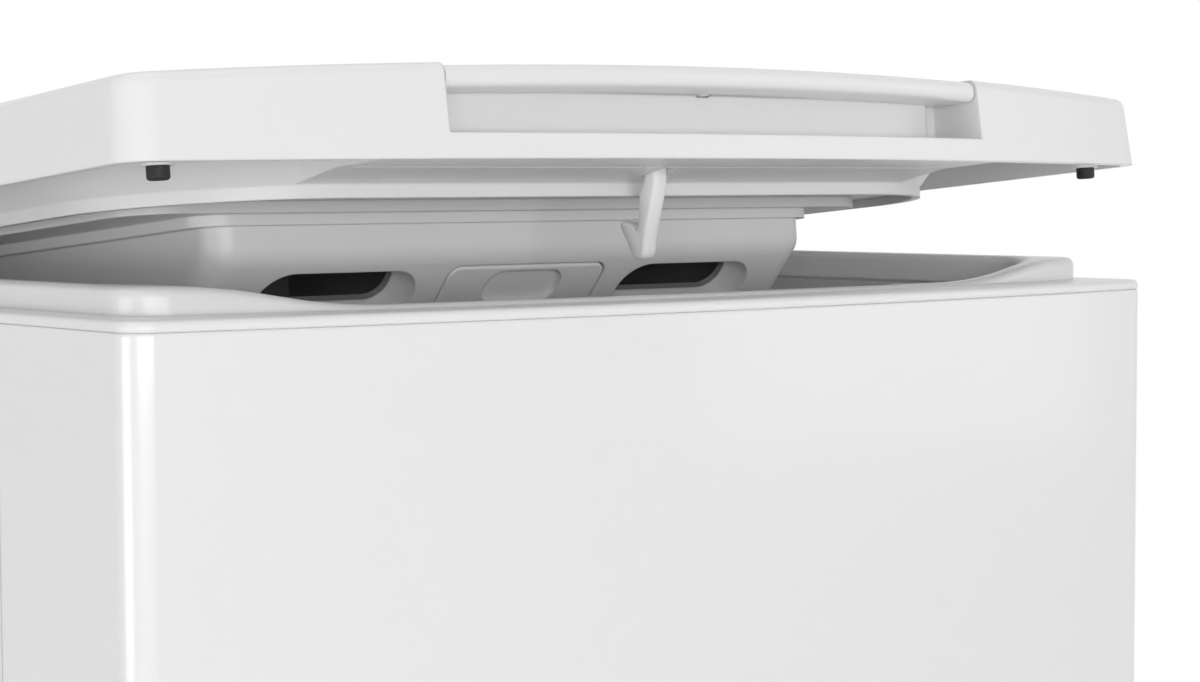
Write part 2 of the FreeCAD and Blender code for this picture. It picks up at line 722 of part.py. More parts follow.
def raised_rim():
    """The wall round the well, lower along the front where the laundry goes over it."""
    low = SEAM_Z + LEDGE_RISE - FUNNEL_WALL
    top = SEAM_Z + RIM_HEIGHT
    rim = slab(rim_outline(0, low), top - low).cut(slab(rim_outline(RIM_WALL, low), top - low))
    high_x = HALF_WIDTH - RIM_INSET - RIM_WALL
    low_x = high_x * 0.62
    low_z = top - RIM_DIP
    mid_x = (low_x + high_x) / 2
    mid_z = top - RIM_DIP / 2
    sag = RIM_DIP / 16
    y = FRONT_Y - 2 * FRONT_BOW
    far = 2 * HALF_WIDTH
    right = [V(low_x, y, low_z), V((low_x + mid_x) / 2, y, low_z + 2 * sag), V(mid_x, y, mid_z),
             V((mid_x + high_x) / 2, y, top - 2 * sag), V(high_x, y, top)]
    left = [mirrored(p) for p in right]
    edges = [
        Part.LineSegment(left[0], right[0]).toShape(),
        Part.Arc(right[0], right[1], right[2]).toShape(),
        Part.Arc(right[2], right[3], right[4]).toShape(),
        Part.LineSegment(right[4], right[4] + V(0, 0, far)).toShape(),
        Part.LineSegment(right[4] + V(0, 0, far), left[4] + V(0, 0, far)).toShape(),
        Part.LineSegment(left[4] + V(0, 0, far), left[4]).toShape(),
        Part.Arc(left[4], left[3], left[2]).toShape(),
        Part.Arc(left[2], left[1], left[0]).toShape(),
    ]
    saddle = Part.Face(Part.Wire(edges)).extrude(V(0, 3 * FRONT_BOW + FUNNEL_FRONT_INSET, 0))
    rim = rim.cut(saddle).removeSplitter()
    crest = [e for e in rim.Edges if e.BoundBox.ZMin > low_z - 0.01 and e.BoundBox.ZLength < RIM_DIP]
    return rim.makeFillet(RIM_ROUNDING, [e for e in crest if follows_wall(e)])


def follows_wall(edge):
    """Whether an edge of the rim runs along its wall, not across it."""
    middle = edge.valueAt((edge.FirstParameter + edge.LastParameter) / 2)
    wall = rim_outline(0, middle.z), rim_outline(RIM_WALL, middle.z)
    return min(w.distToShape(Part.Vertex(middle))[0] for w in wall) < 0.05


def hinge_post(side):
    x0 = HINGE_X
    x1 = HINGE_X + HINGE_POST
    reach = HINGE_PIN_RADIUS + 3.0
    post = block((x0, x1), (HINGE_Y - reach, HINGE_Y + reach), (SEAM_Z, HINGE_Z))
    post = post.fuse(rod(reach, V(x0, HINGE_Y, HINGE_Z), V(x1, HINGE_Y, HINGE_Z)))
    post = post.cut(rod(HINGE_PIN_RADIUS, V(x0 - 1, HINGE_Y, HINGE_Z), V(x1 + 1, HINGE_Y, HINGE_Z)))
    return post if side > 0 else post.mirror(V(0, 0, 0), V(1, 0, 0))


def latch_slot(z0, z1):
    """The slot in the front ledge that the lid's hook drops into."""
    half = LATCH_SLOT / 2
    front = LATCH_STEM_Y - 2 * LATCH_ROOM
    rear = LATCH_STEM_Y + LATCH_STEM + LATCH_LEAN + LATCH_BARB + LATCH_ROOM
    return block((-half, half), (front, rear), (z0, z1))


def top_frame():
    ledge_top = SEAM_Z + LEDGE_RISE
    ledge_bottom = ledge_top - FUNNEL_WALL
    plate = slab(cabinet_outline(0, SEAM_Z), FRAME_THICKNESS)
    plate = plate.makeFillet(PANEL_EDGE, outer_loop(plate, SEAM_Z))
    plate = plate.makeFillet(FRAME_ROUNDING, outer_loop(plate, FRAME_TOP_Z))
    plate = plate.cut(slab(rim_outline(0, SEAM_Z), FRAME_THICKNESS))
    frame = plate.fuse(raised_rim())
    ledge = slab(rim_outline(0, ledge_bottom), FUNNEL_WALL)
    ledge = ledge.cut(slab(funnel_outline(0, ledge_bottom), FUNNEL_WALL))
    frame = frame.fuse(ledge)
    foot = slab(rim_outline(RIM_WALL - RIM_FOOT, ledge_top), RIM_FOOT_HEIGHT)
    frame = frame.cut(foot.cut(slab(rim_outline(RIM_WALL, ledge_top), RIM_FOOT_HEIGHT)))
    outer = frustum(funnel_outline(-FUNNEL_WALL, ledge_bottom), mouth_outline(-FUNNEL_WALL, MOUTH_Z))
    inner = frustum(funnel_outline(0, ledge_bottom), mouth_outline(0, MOUTH_Z))
    frame = frame.fuse(outer.cut(inner))
    collar = slab(mouth_outline(-FUNNEL_WALL, COLLAR_Z), COLLAR_DROP)
    frame = frame.fuse(collar.cut(slab(mouth_outline(0, COLLAR_Z), COLLAR_DROP)))
    for side in (-1, 1):
        frame = frame.fuse(hinge_post(side))
    frame = frame.cut(rod(HOSE_RADIUS + FIT, spray_end(), spray_end() + V(0, 30, 0)))
    return frame.cut(latch_slot(ledge_bottom - 1, ledge_top + 1)).removeSplitter()


def hinge_pins():
    pins = []
    for side in (-1, 1):
        inner = V(side * (HINGE_X - HINGE_KNUCKLE), HINGE_Y, HINGE_Z)
        outer = V(side * (HINGE_X + HINGE_POST), HINGE_Y, HINGE_Z)
        pins.append(rod(HINGE_PIN_RADIUS, inner, outer))
    return Part.makeCompound(pins)


def lid_lock():
    """The interlock box under the front ledge, with the pocket that takes the hook."""
    top = SEAM_Z + LEDGE_RISE - FUNNEL_WALL
    slot = latch_slot(top - 26, top + 1).BoundBox
    body = block((slot.XMin - 16, slot.XMax + 16), (slot.YMin - 3, slot.YMax + 3), (top - 30, top))
    body = round_edges(body, 2.0, upright)
    body = body.cut(latch_slot(top - 26, top + 1))
    plug = block((slot.XMax + 16, slot.XMax + 28), (slot.YMin + 5, slot.YMax - 5), (top - 22, top - 8))
    body = body.fuse(plug)
    return body.cut(bolt_channel(slot.XMin - 4, 0.1)).removeSplitter()


# Lid


def lid_outline(inset, z):
    """The lid's plan outline at a height, drawn in by its draft."""
    lean = inset + (z - LID_BOTTOM_Z) * math.tan(math.radians(LID_DRAFT_DEG))
    return outline(
        LID_HALF - lean, LID_FRONT_Y + lean, LID_REAR_Y - inset, FRONT_BOW,
        LID_CORNER_RADIUS - 0.5 * inset, LID_CORNER_RADIUS - 0.5 * inset, z,
    )


def lid_barrel(sink):
    """The crown across the lid's top, as a long cylinder along Y."""
    radius = (LID_HALF**2 + LID_CROWN**2) / (2 * LID_CROWN)
    top = LID_BOTTOM_Z + LID_MIDDLE_HEIGHT - sink
    start = V(0, LID_FRONT_Y - HALF_WIDTH, top - radius + sink)
    barrel = Part.makeCylinder(radius - sink, LID_REACH + WIDTH, start, V(0, 1, 0))
    barrel.rotate(start, V(0, 1, 0), 180)
    return barrel


def lid_form(inset, sink):
    tall = LID_MIDDLE_HEIGHT + 10
    body = frustum(lid_outline(inset, LID_BOTTOM_Z), lid_outline(inset, LID_BOTTOM_Z + tall))
    return body.common(lid_barrel(sink))


def lid_top_edges(shape):
    """The edges where the crown meets the sides."""
    low = LID_BOTTOM_Z + LID_MIDDLE_HEIGHT - 2 * LID_CROWN
    return [e for e in shape.Edges if e.BoundBox.ZMin > low]


def pocket(margin, floor):
    half = POCKET_WIDTH / 2 + margin
    return block(
        (-half, half),
        (LID_NOSE_Y - 2 * FRONT_BOW, LID_NOSE_Y + POCKET_DEPTH + margin),
        (LID_BOTTOM_Z + floor, LID_BOTTOM_Z + 2 * LID_MIDDLE_HEIGHT),
    )


def lid_shell():
    outer = lid_form(0, 0)
    outer = outer.makeFillet(LID_TOP_ROUNDING, lid_top_edges(outer))
    cavity = lid_form(LID_WALL, LID_WALL)
    shell = outer.cut(cavity)
    for place in bumper_places():
        boss = rod(BUMPER_BOSS, place, place + V(0, 0, LID_MIDDLE_HEIGHT))
        shell = shell.fuse(boss.common(lid_form(LID_WALL / 2, LID_WALL / 2)))
    tray = outer.common(pocket(POCKET_WALL, POCKET_FLOOR - POCKET_WALL))
    shell = shell.fuse(tray).cut(pocket(0, POCKET_FLOOR))
    arm = block((-LATCH_SLOT / 2, LATCH_SLOT / 2), (LATCH_Y, LATCH_STEM_Y),
                (LATCH_Z - 7, LID_BOTTOM_Z + LID_MIDDLE_HEIGHT - LID_WALL))
    shell = shell.cut(arm)
    pin_reach = POCKET_WIDTH / 2 + POCKET_WALL + 1
    pin_end = V(pin_reach, LATCH_Y, LATCH_Z)
    shell = shell.cut(rod(LATCH_PIN_RADIUS + HINGE_RUNNING, mirrored(pin_end), pin_end))
    heel = block((-WIDTH, WIDTH), (HINGE_Y - 1, LID_REAR_Y + 1), (LID_BOTTOM_Z - 1, LID_BOTTOM_Z + 6))
    shell = shell.cut(heel)
    for side in (-1, 1):
        near = side * (HINGE_X - FIT)
        far = side * (HINGE_X + HINGE_POST + 2)
        across = (min(near, far), max(near, far))
        notch = block(across, (HINGE_Y - 1, LID_REAR_Y + 1), (LID_BOTTOM_Z - 1, HINGE_Z + 8))
        shell = shell.cut(notch).fuse(hinge_knuckle(side))
    return shell.removeSplitter()


def hinge_knuckle(side):
    x0 = HINGE_X - HINGE_KNUCKLE
    x1 = HINGE_X - FIT
    reach = HINGE_PIN_RADIUS + 3.0
    start = V(x0, HINGE_Y, HINGE_Z)
    end = V(x1, HINGE_Y, HINGE_Z)
    web = block((x0, x1), (HINGE_Y - reach, HINGE_Y + reach), (HINGE_Z, HINGE_Z + 60))
    web = web.common(lid_form(LID_WALL / 2, LID_WALL / 2))
    knuckle = rod(reach, start, end).fuse(web)
    knuckle = knuckle.cut(rod(HINGE_PIN_RADIUS + HINGE_RUNNING, start - V(1, 0, 0), end + V(1, 0, 0)))
    return knuckle if side > 0 else knuckle.mirror(V(0, 0, 0), V(1, 0, 0))


def liner_outline(grow, z):
    """The liner's pan, grown or drawn in from its lip."""
    return outline(
        LID_HALF - LINER_INSET + grow, LID_FRONT_Y + LINER_FRONT_INSET - grow,
        HINGE_Y - LINER_BACKSET + grow, 0.0,
        LINER_RADIUS + grow, LINER_RADIUS * 0.5 + grow, z,
    )


def liner_apron(wall):
    """The flat band behind the lid's front and the shallow slope from it to the pan's lip."""
    low = LID_BOTTOM_Z - LINER_LIP_BOTTOM + LINER_LIP + wall
    high = LID_BOTTOM_Z + APRON_RISE + wall
    top = LID_BOTTOM_Z + LINER_LEVEL + LINER_WALL + wall
    half = APRON_HALF - wall
    pan_front = LID_FRONT_Y + LINER_FRONT_INSET
    cone = frustum(liner_outline(-wall - 0.5, low + FIT), liner_outline(APRON_SLOPE - wall, high))
    cone = cone.fuse(slab(liner_outline(APRON_SLOPE - wall, high), top - high))
    front = LID_NOSE_Y - FRONT_BOW
    band = block((-half, half), (front, pan_front), (high, top))
    reach = block((-half, half), (front, pan_front + 0.2 * LINER_RADIUS), (low, top))
    inset = LID_WALL + FIT + wall
    inside = frustum(lid_outline(inset, low - 1), lid_outline(inset, top + 1))
    return cone.fuse(band).common(reach).common(inside)


def apron_groove():
    """A fine groove where the apron's band meets its slope."""
    low = LID_BOTTOM_Z + APRON_RISE
    tall = LINER_DEPTH + APRON_GROOVE_DEPTH
    outer = slab(liner_outline(APRON_SLOPE + APRON_GROOVE, low - LINER_DEPTH), tall)
    ring = outer.cut(slab(liner_outline(APRON_SLOPE, low - LINER_DEPTH), tall))
    half = APRON_HALF - 2 * LINER_WALL
    pan_front = LID_FRONT_Y + LINER_FRONT_INSET
    front = LID_NOSE_Y - FRONT_BOW
    return ring.common(block((-half, half), (front, pan_front), (low - LINER_DEPTH, low + tall)))


def lid_liner():
    """The inner panel: a border over the rim, a pan with a lip round its floor, and an apron in front."""
    level = LID_BOTTOM_Z + LINER_LEVEL
    floor = LID_BOTTOM_Z - LINER_DEPTH
    lip_low = LID_BOTTOM_Z - LINER_LIP_BOTTOM
    lip_top = lip_low + LINER_LIP
    border = frustum(lid_outline(LID_WALL + FIT, level), lid_outline(LID_WALL + FIT, level + LINER_WALL))
    border = border.cut(block((-WIDTH, WIDTH), (HINGE_Y - 9, LID_REAR_Y + 20), (level - 1, level + 50)))
    border = border.cut(slab(liner_outline(LINER_SLOPE - LINER_WALL, level - 1), 20))
    walls = frustum(liner_outline(0, lip_top), liner_outline(LINER_SLOPE, level))
    walls = walls.fuse(slab(liner_outline(LINER_SLOPE, level), LINER_WALL))
    walls = walls.fuse(slab(liner_outline(0, lip_low), LINER_LIP))
    inside = frustum(liner_outline(-LINER_WALL, lip_top + LINER_WALL / 2),
                     liner_outline(LINER_SLOPE - LINER_WALL, level + LINER_WALL))
    inside = inside.fuse(slab(liner_outline(-LINER_WALL, floor + LINER_WALL), LINER_LIP))
    recess = slab(liner_outline(-LINER_LIP_WALL, lip_low - 1), floor - lip_low + 1)
    liner = border.fuse(walls).fuse(liner_apron(0))
    liner = liner.cut(inside).cut(recess).cut(liner_apron(LINER_WALL))
    room = 1.2 * TRAY_CORNER_RADIUS
    floor_hole = block((-TRAY_WIDTH / 2 + room, TRAY_WIDTH / 2 - room),
                       (TRAY_FRONT_Y + room, TRAY_FRONT_Y + TRAY_LENGTH - room),
                       (floor - 1, floor + LINER_WALL + 1))
    liner = liner.cut(floor_hole).cut(apron_groove())
    half = LATCH_THICKNESS / 2 + 1.0
    slot = block((-half, half), (LATCH_STEM_Y - LATCH_ROOM - 0.5, LATCH_STEM_Y + LATCH_STEM + 1.6),
                 (lip_low - 1, level + 20))
    liner = liner.cut(slot)
    for place in bumper_places():
        liner = liner.cut(rod(BUMPER_BOSS + FIT, place, place + V(0, 0, LID_MIDDLE_HEIGHT)))
    pocket_clear = pocket(POCKET_WALL + FIT, POCKET_FLOOR - POCKET_WALL - FIT)
    return liner.cut(pocket_clear).removeSplitter()


def bumper_places():
    for side in (-1, 1):
        yield V(side * (LID_HALF - BUMPER_INSET), LID_FRONT_Y + BUMPER_SETBACK, LID_BOTTOM_Z)


def lid_bumpers():
    pads = []
    for place in bumper_places():
        pad = rod(BUMPER_RADIUS, place - V(0, 0, LID_BUMPER_HEIGHT), place)
        low = [e for e in pad.Edges if e.BoundBox.ZMax < place.z - LID_BUMPER_HEIGHT + 0.01]
        pads.append(pad.makeFillet(0.9, low))
    return Part.makeCompound(pads)


# Grip and latch


def handle_grip():
    """The bar under the fingertips, the plate that closes the pocket behind it, and the pivot's carrier."""
    half = POCKET_WIDTH / 2 - GRIP_GAP
    rear = GRIP_REAR_Y
    reach = block((-half, half), (LID_NOSE_Y - 2 * FRONT_BOW, rear), (LID_BOTTOM_Z, LID_BOTTOM_Z + 60))
    under = lid_barrel(GRIP_SINK + GRIP_LIP)
    lip = lid_form(0.6, GRIP_SINK).common(reach).cut(under)
    nose = [e for e in lip.Edges if e.BoundBox.YMax < LID_NOSE_Y + 8 and e.BoundBox.XLength > half]
    lip = lip.makeFillet(0.42 * GRIP_LIP, nose)
    plate_half = POCKET_WIDTH / 2 - GRIP_PLATE_INSET
    plate_y = LID_NOSE_Y + GRIP_PLATE_SETBACK
    plate = block((-plate_half, plate_half), (plate_y, plate_y + GRIP_PLATE),
                  (LID_BOTTOM_Z + POCKET_FLOOR + GRIP_PLATE_GAP, GRIP_LOW_Z + 1.5))
    bar = block((-half, half), (rear - GRIP_BAR, rear), (LATCH_Z - LATCH_PIN_RADIUS - 1, GRIP_LOW_Z + 1.5))
    inside = lid_barrel(GRIP_SINK + 1)
    grip = lip.fuse(plate.common(inside)).fuse(bar.common(inside))
    room = LATCH_THICKNESS / 2 + FIT
    boss = LATCH_BOSS + FIT
    clear = block((-room, room), (LATCH_Y - boss, rear + 1), (LATCH_Z - boss, LATCH_Z + boss))
    grip = grip.cut(clear)
    bore = rod(LATCH_PIN_RADIUS, V(-half - 1, LATCH_Y, LATCH_Z), V(half + 1, LATCH_Y, LATCH_Z))
    return grip.cut(bore).removeSplitter()


def latch_pin():
    reach = POCKET_WIDTH / 2 + POCKET_WALL - 0.3
    return rod(LATCH_PIN_RADIUS, V(-reach, LATCH_Y, LATCH_Z), V(reach, LATCH_Y, LATCH_Z))


def latch_hook():
    """The white hook: a boss on the pin, an arm to the back, a leaning stem and a barb that points up."""
    half = LATCH_THICKNESS / 2
    boss = rod(LATCH_BOSS, V(-half, LATCH_Y, LATCH_Z), V(half, LATCH_Y, LATCH_Z))
    arm = block((-half, half), (LATCH_Y, LATCH_STEM_Y + LATCH_STEM), (LATCH_Z - LATCH_BOSS, LATCH_Z + 1.4))
    front = LATCH_STEM_Y
    heel = front + LATCH_STEM
    toe = front + LATCH_LEAN
    rear = toe + LATCH_STEM
    low = LATCH_TIP_Z
    stem_shape = side_profile([
        (front, LATCH_Z), (heel, LATCH_Z), (heel, LID_BOTTOM_Z - 1.0),
        (heel + 0.36 * LATCH_LEAN, low + 16.2), (heel + 0.6 * LATCH_LEAN, low + 9.8),
        (rear - 2.4, low + 9.4), (rear + 0.55 * LATCH_BARB, low + 11.4),
        (rear + LATCH_BARB - 1.0, low + 11.2), (rear + LATCH_BARB, low + 10.0),
        (rear + 0.45 * LATCH_BARB, low + 4.2), (rear, low + 0.9), (rear - 1.8, low), (toe + 1.4, low + 0.8),
        (toe, low + 5.5), (toe - 0.36 * LATCH_LEAN, low + 13.0), (front + 0.3 * LATCH_LEAN, low + 19.0),
        (front, LID_BOTTOM_Z - 2.4),
    ], half)
    below = LID_BOTTOM_Z - LINER_DEPTH
    flanks = [e for e in stem_shape.Edges if e.BoundBox.ZMax < below and e.BoundBox.XLength < 0.01]
    stem_shape = stem_shape.makeFillet(LATCH_EDGE, flanks)
    hook = boss.fuse(arm).fuse(stem_shape).removeSplitter()
    return hook.cut(rod(LATCH_PIN_RADIUS, V(-half - 1, LATCH_Y, LATCH_Z), V(half + 1, LATCH_Y, LATCH_Z)))


# Dispenser


def tray_profile(inset):
    """Side view of the dispenser body: upright face, slanted face and flat bottom."""
    rear = TRAY_FRONT_Y + TRAY_LENGTH - inset
    front = TRAY_FRONT_Y + inset
    drop = inset * math.tan(math.radians(22.5))
    return [
        (front, TRAY_TOP_Z + (1 if inset else 0)),
        (front, TRAY_KNEE_Z + drop),
        (front + TRAY_SLANT - inset + drop, TRAY_BOTTOM_Z + inset),
        (rear, TRAY_BOTTOM_Z + inset),
        (rear, TRAY_TOP_Z + (1 if inset else 0)),
    ]


def on_slant(shape):
    """Carries a shape drawn face-up at the origin to the middle of the slanted face."""
    place = FreeCAD.Placement(
        V(0, TRAY_FRONT_Y + TRAY_SLANT / 2, TRAY_KNEE_Z - TRAY_SLANT / 2),
        FreeCAD.Rotation(V(1, 0, 0), 135),
    )
    moved = shape.copy()
    moved.Placement = place.multiply(moved.Placement)
    return moved


def slant_pad(width, length, y, z0, z1, radius):
    """A rounded pad on the slanted face, between two depths along its normal."""
    pad = block((-width / 2, width / 2), (y - length / 2, y + length / 2), (z0, z1))
    return round_edges(pad, radius, upright)


def slant_length():
    return TRAY_SLANT * math.sqrt(2)


def window_chute(side, grow, z0, z1):
    """The room of a window, which narrows on its way in, between two depths."""
    tall = slant_length() - 2 * WINDOW_MARGIN

    def ring(z):
        wider = grow + z * WINDOW_TAPER / WINDOW_DEPTH
        radius = WINDOW_RADIUS + wider
        reach = tall / 2 + wider
        return outline(WINDOW_WIDTH / 2 + wider, -reach, reach, 0.0, radius, radius, z)

    chute = frustum(ring(z0), ring(z1))
    chute.translate(V(side * WINDOW_OFFSET, 0, 0))
    return on_slant(chute)


def tray_body():
    """The dispenser's outer form, with rounded corners down the front and the slanted face."""
    half = TRAY_WIDTH / 2
    body = side_profile(tray_profile(0), half)

    def knee(edge):
        return along_x(edge) and abs(edge.CenterOfMass.z - TRAY_KNEE_Z) < 0.1

    body = round_edges(body, TRAY_EDGE_RADIUS, knee)
    slant_end = TRAY_FRONT_Y + TRAY_SLANT + 0.1

    def corner(edge):
        box = edge.BoundBox
        return box.XLength < 0.01 and box.YMax < slant_end and box.ZLength > 1

    return round_edges(body, TRAY_CORNER_RADIUS, corner)


def dispenser_housing():
    step_half = TRAY_STEP_WIDTH / 2
    step_front = FRONT_Y + TRAY_STEP_FRONT
    step_top = LID_BOTTOM_Z - LINER_DEPTH
    step_low = step_top - TRAY_STEP_DEPTH
    rear = TRAY_FRONT_Y + TRAY_LENGTH
    radius = TRAY_STEP_RADIUS
    step = slab(outline(step_half, step_front, rear + 12, 0.0, radius, radius, step_low), TRAY_STEP_DEPTH)
    half = TRAY_WIDTH / 2
    radius = TRAY_CORNER_RADIUS + TRAY_FLANGE / 2
    front = TRAY_FRONT_Y - 1.5
    flange = outline(half + TRAY_FLANGE, front, rear + TRAY_FLANGE, 0.0, radius, radius, TRAY_TOP_Z)
    body = step.fuse(slab(flange, TRAY_FLANGE_DEPTH)).fuse(tray_body())
    room = half - TRAY_SIDE_WALL
    hollow = side_profile(tray_profile(TRAY_WALL), room)
    depth = (TRAY_FRONT_Y + TRAY_WALL, rear - TRAY_WALL)
    lift = block((-room, room), depth, (TRAY_TOP_Z - 0.5, step_top + 1))
    body = body.cut(hollow).cut(lift)
    for side in (-1, 1):
        body = body.fuse(window_chute(side, WINDOW_FRAME, -WINDOW_DEPTH, -0.5 * TRAY_WALL))
        body = body.cut(window_chute(side, 0, -WINDOW_DEPTH - 0.5, 1))
    tall = slant_length() - 2 * RELEASE_MARGIN
    deep = 2 * TRAY_WALL
    hole = slant_pad(RELEASE_WIDTH, tall, 0, -deep, deep, RELEASE_RADIUS)
    return body.cut(on_slant(hole)).removeSplitter()


def dispenser_cups():
    """The two dark detergent cups at the inner ends of the windows."""
    cups = []
    outer = side_profile(tray_profile(WINDOW_DEPTH), TRAY_WIDTH)
    inner = side_profile(tray_profile(WINDOW_DEPTH + CUP_WALL), TRAY_WIDTH)
    half = WINDOW_WIDTH / 2 + 5
    rear = TRAY_FRONT_Y + 0.6 * TRAY_LENGTH
    low = TRAY_BOTTOM_Z - 1
    for side in (-1, 1):
        x = side * WINDOW_OFFSET
        cup = outer.common(block((x - half, x + half), (TRAY_FRONT_Y, rear), (low, TRAY_TOP_Z)))
        room = half - CUP_WALL
        hollow = block((x - room, x + room), (TRAY_FRONT_Y, rear - CUP_WALL), (low, TRAY_TOP_Z - CUP_WALL))
        cup = cup.cut(inner.common(hollow))
        cups.append(cup.cut(window_chute(side, 0, -WINDOW_DEPTH - 2 * CUP_WALL, 0)).removeSplitter())
    return Part.makeCompound(cups)


def dispenser_release():
    """The press-in tab between the windows, with a finger dish and a flange behind the face."""
    tall = slant_length() - 2 * RELEASE_MARGIN - 2 * RELEASE_GAP
    wide = RELEASE_WIDTH - 2 * RELEASE_GAP
    back = -TRAY_WALL - FIT
    tab = slant_pad(wide, tall, 0, back - 1.5, 0.3, RELEASE_RADIUS - RELEASE_GAP)
    top = [e for e in tab.Edges if e.BoundBox.ZMin > 0.29]
    tab = tab.makeFillet(0.8, top)
    flange = slant_pad(wide + 5, tall + 4, 0, back - 1.5, back, RELEASE_RADIUS)
    dish = slant_pad(0.48 * wide, 0.53 * tall, 0.16 * tall, -2.2, 2, 0.22 * tall)
    return on_slant(tab.fuse(flange).cut(dish).removeSplitter())


# Lid lock


def bolt_channel(start, gap):
    """The room of the lock's bolt from a start along X, with a gap round it."""
    slot = LATCH_SLOT / 2
    back = LATCH_STEM_Y + LATCH_LEAN + LATCH_STEM + LATCH_BARB
    low = LATCH_TIP_Z + 12.0
    return block((start, slot + BOLT_LENGTH), (back - 4.5 - gap, back + gap),
                 (low - gap, low + BOLT_THICKNESS + gap))


def lock_bolt():
    return bolt_channel(LATCH_SLOT / 2 + FIT, 0)


# Console


def on_console(shape):
    """Carries a shape drawn face-up at the origin to the console's sloping top."""
    place = FreeCAD.Placement(
        V(0, CONSOLE_FRONT_Y, FRAME_TOP_Z + CONSOLE_FRONT_RISE),
        FreeCAD.Rotation(V(1, 0, 0), CONSOLE_SLOPE_DEG),
    )
    moved = shape.copy()
    moved.Placement = place.multiply(moved.Placement)
    return moved


def console_pad(x, y, width, length, z0, z1, radius):
    pad = block((x - width / 2, x + width / 2), (y - length / 2, y + length / 2), (z0, z1))
    return round_edges(pad, radius, upright)


def fascia_pad(grow, z0, z1):
    width = WIDTH - 2 * FASCIA_MARGIN + 2 * grow
    length = CONSOLE_SLOPE_LENGTH - 2 * FASCIA_MARGIN + 2 * grow
    return console_pad(0, CONSOLE_SLOPE_LENGTH / 2, width, length, z0, z1, 6.0 + grow)


def console_profile(wall, drop):
    slope = math.radians(CONSOLE_SLOPE_DEG)
    front = CONSOLE_FRONT_Y + wall
    back = BACK_Y - wall
    low = FRAME_TOP_Z - drop
    rise = FRAME_TOP_Z + CONSOLE_FRONT_RISE - wall / math.cos(slope)
    return [
        (front, low),
        (front, rise + wall * math.tan(slope)),
        (back, rise + (back - CONSOLE_FRONT_Y) * math.tan(slope)),
        (back, low),
    ]


def console_housing():
    body = side_profile(console_profile(0, 0), HALF_WIDTH)
    high = FRAME_TOP_Z + 1
    body = round_edges(body, CONSOLE_ROUNDING, lambda e: e.BoundBox.ZMax > high)
    hollow = side_profile(console_profile(CONSOLE_WALL, 1), HALF_WIDTH - CONSOLE_WALL)
    body = body.cut(hollow)
    seat = -FASCIA_THICKNESS
    ledge = fascia_pad(3.0, seat - 2.5, seat).cut(fascia_pad(-5.0, seat - 3, seat + 1))
    body = body.fuse(on_console(ledge))
    body = body.cut(on_console(fascia_pad(FIT, seat, 20)))
    return body.removeSplitter()


def console_mid():
    return CONSOLE_SLOPE_LENGTH / 2


def button_places():
    return [BUTTON_FIRST_X + k * BUTTON_PITCH for k in range(3)]


def control_fascia():
    y = console_mid()
    plate = fascia_pad(0, -FASCIA_THICKNESS, 0)
    deep = -FASCIA_THICKNESS - 1
    plate = plate.cut(console_pad(DISPLAY_X, y, DISPLAY_WIDTH, DISPLAY_HEIGHT, deep, 1, 3.0))
    for x in button_places():
        wide = BUTTON_WIDTH + 2 * FIT
        plate = plate.cut(console_pad(x, y, wide, BUTTON_HEIGHT + 2 * FIT, deep, 1, 2.0 + FIT))
    for x, radius in ((START_X, START_RADIUS + FIT), (KNOB_X, KNOB_SHAFT_RADIUS + HINGE_RUNNING)):
        plate = plate.cut(rod(radius, V(x, y, deep), V(x, y, 1)))
    for x in (-1, 1):
        for side in (-1, 1):
            foot = V(BOARD_X + x * (BOARD_WIDTH / 2 - 6), y + side * (BOARD_LENGTH / 2 - 6), -BOARD_DEPTH)
            plate = plate.fuse(rod(3.0, foot, foot + V(0, 0, BOARD_DEPTH - FASCIA_THICKNESS)))
    return on_console(plate.removeSplitter())


def display_window():
    pane = console_pad(DISPLAY_X, console_mid(), DISPLAY_WIDTH - 2 * FIT, DISPLAY_HEIGHT - 2 * FIT,
                       -FASCIA_THICKNESS, -0.2, 3.0 - FIT)
    return on_console(pane)


def control_board():
    """The circuit board under the fascia, with a switch below each button."""
    y = console_mid()
    top = -BOARD_DEPTH
    board = console_pad(BOARD_X, y, BOARD_WIDTH, BOARD_LENGTH, top - BOARD_THICKNESS, top, 2.0)
    for x in button_places() + [START_X]:
        board = board.fuse(console_pad(x, y, 6.0, 6.0, top, top + SWITCH_HEIGHT, 0.8))
    board = board.fuse(console_pad(KNOB_X, y, 14.0, 14.0, top, top + SWITCH_HEIGHT, 1.0))
    wide = DISPLAY_WIDTH - 8
    board = board.fuse(console_pad(DISPLAY_X, y, wide, DISPLAY_HEIGHT - 6, top, -FASCIA_THICKNESS, 1.0))
    return on_console(board.removeSplitter())


def stem(x, radius):
    """The leg under a button, ending just above its switch."""
    y = console_mid()
    end = -BOARD_DEPTH + SWITCH_HEIGHT + BUTTON_TRAVEL + 0.2
    return rod(radius, V(x, y, end), V(x, y, 0))


def option_button(index):
    x = button_places()[index]
    cap = console_pad(x, console_mid(), BUTTON_WIDTH, BUTTON_HEIGHT, -FASCIA_THICKNESS, BUTTON_STAND, 2.0)
    top = [e for e in cap.Edges if e.BoundBox.ZMin > BUTTON_STAND - 0.01]
    return on_console(cap.makeFillet(0.6, top).fuse(stem(x, 2.5)).removeSplitter())


def start_button():
    x = START_X
    radius = START_RADIUS
    y = console_mid()
    cap = rod(radius, V(x, y, -FASCIA_THICKNESS), V(x, y, BUTTON_STAND))
    top = [e for e in cap.Edges if e.BoundBox.ZMin > BUTTON_STAND - 0.01]
    cap = cap.makeFillet(0.8, top)
    ball = 3 * radius
    cap = cap.cut(Part.makeSphere(ball, V(x, y, BUTTON_STAND + ball - 0.8)))
    return on_console(cap.fuse(stem(x, 2.5)).removeSplitter())


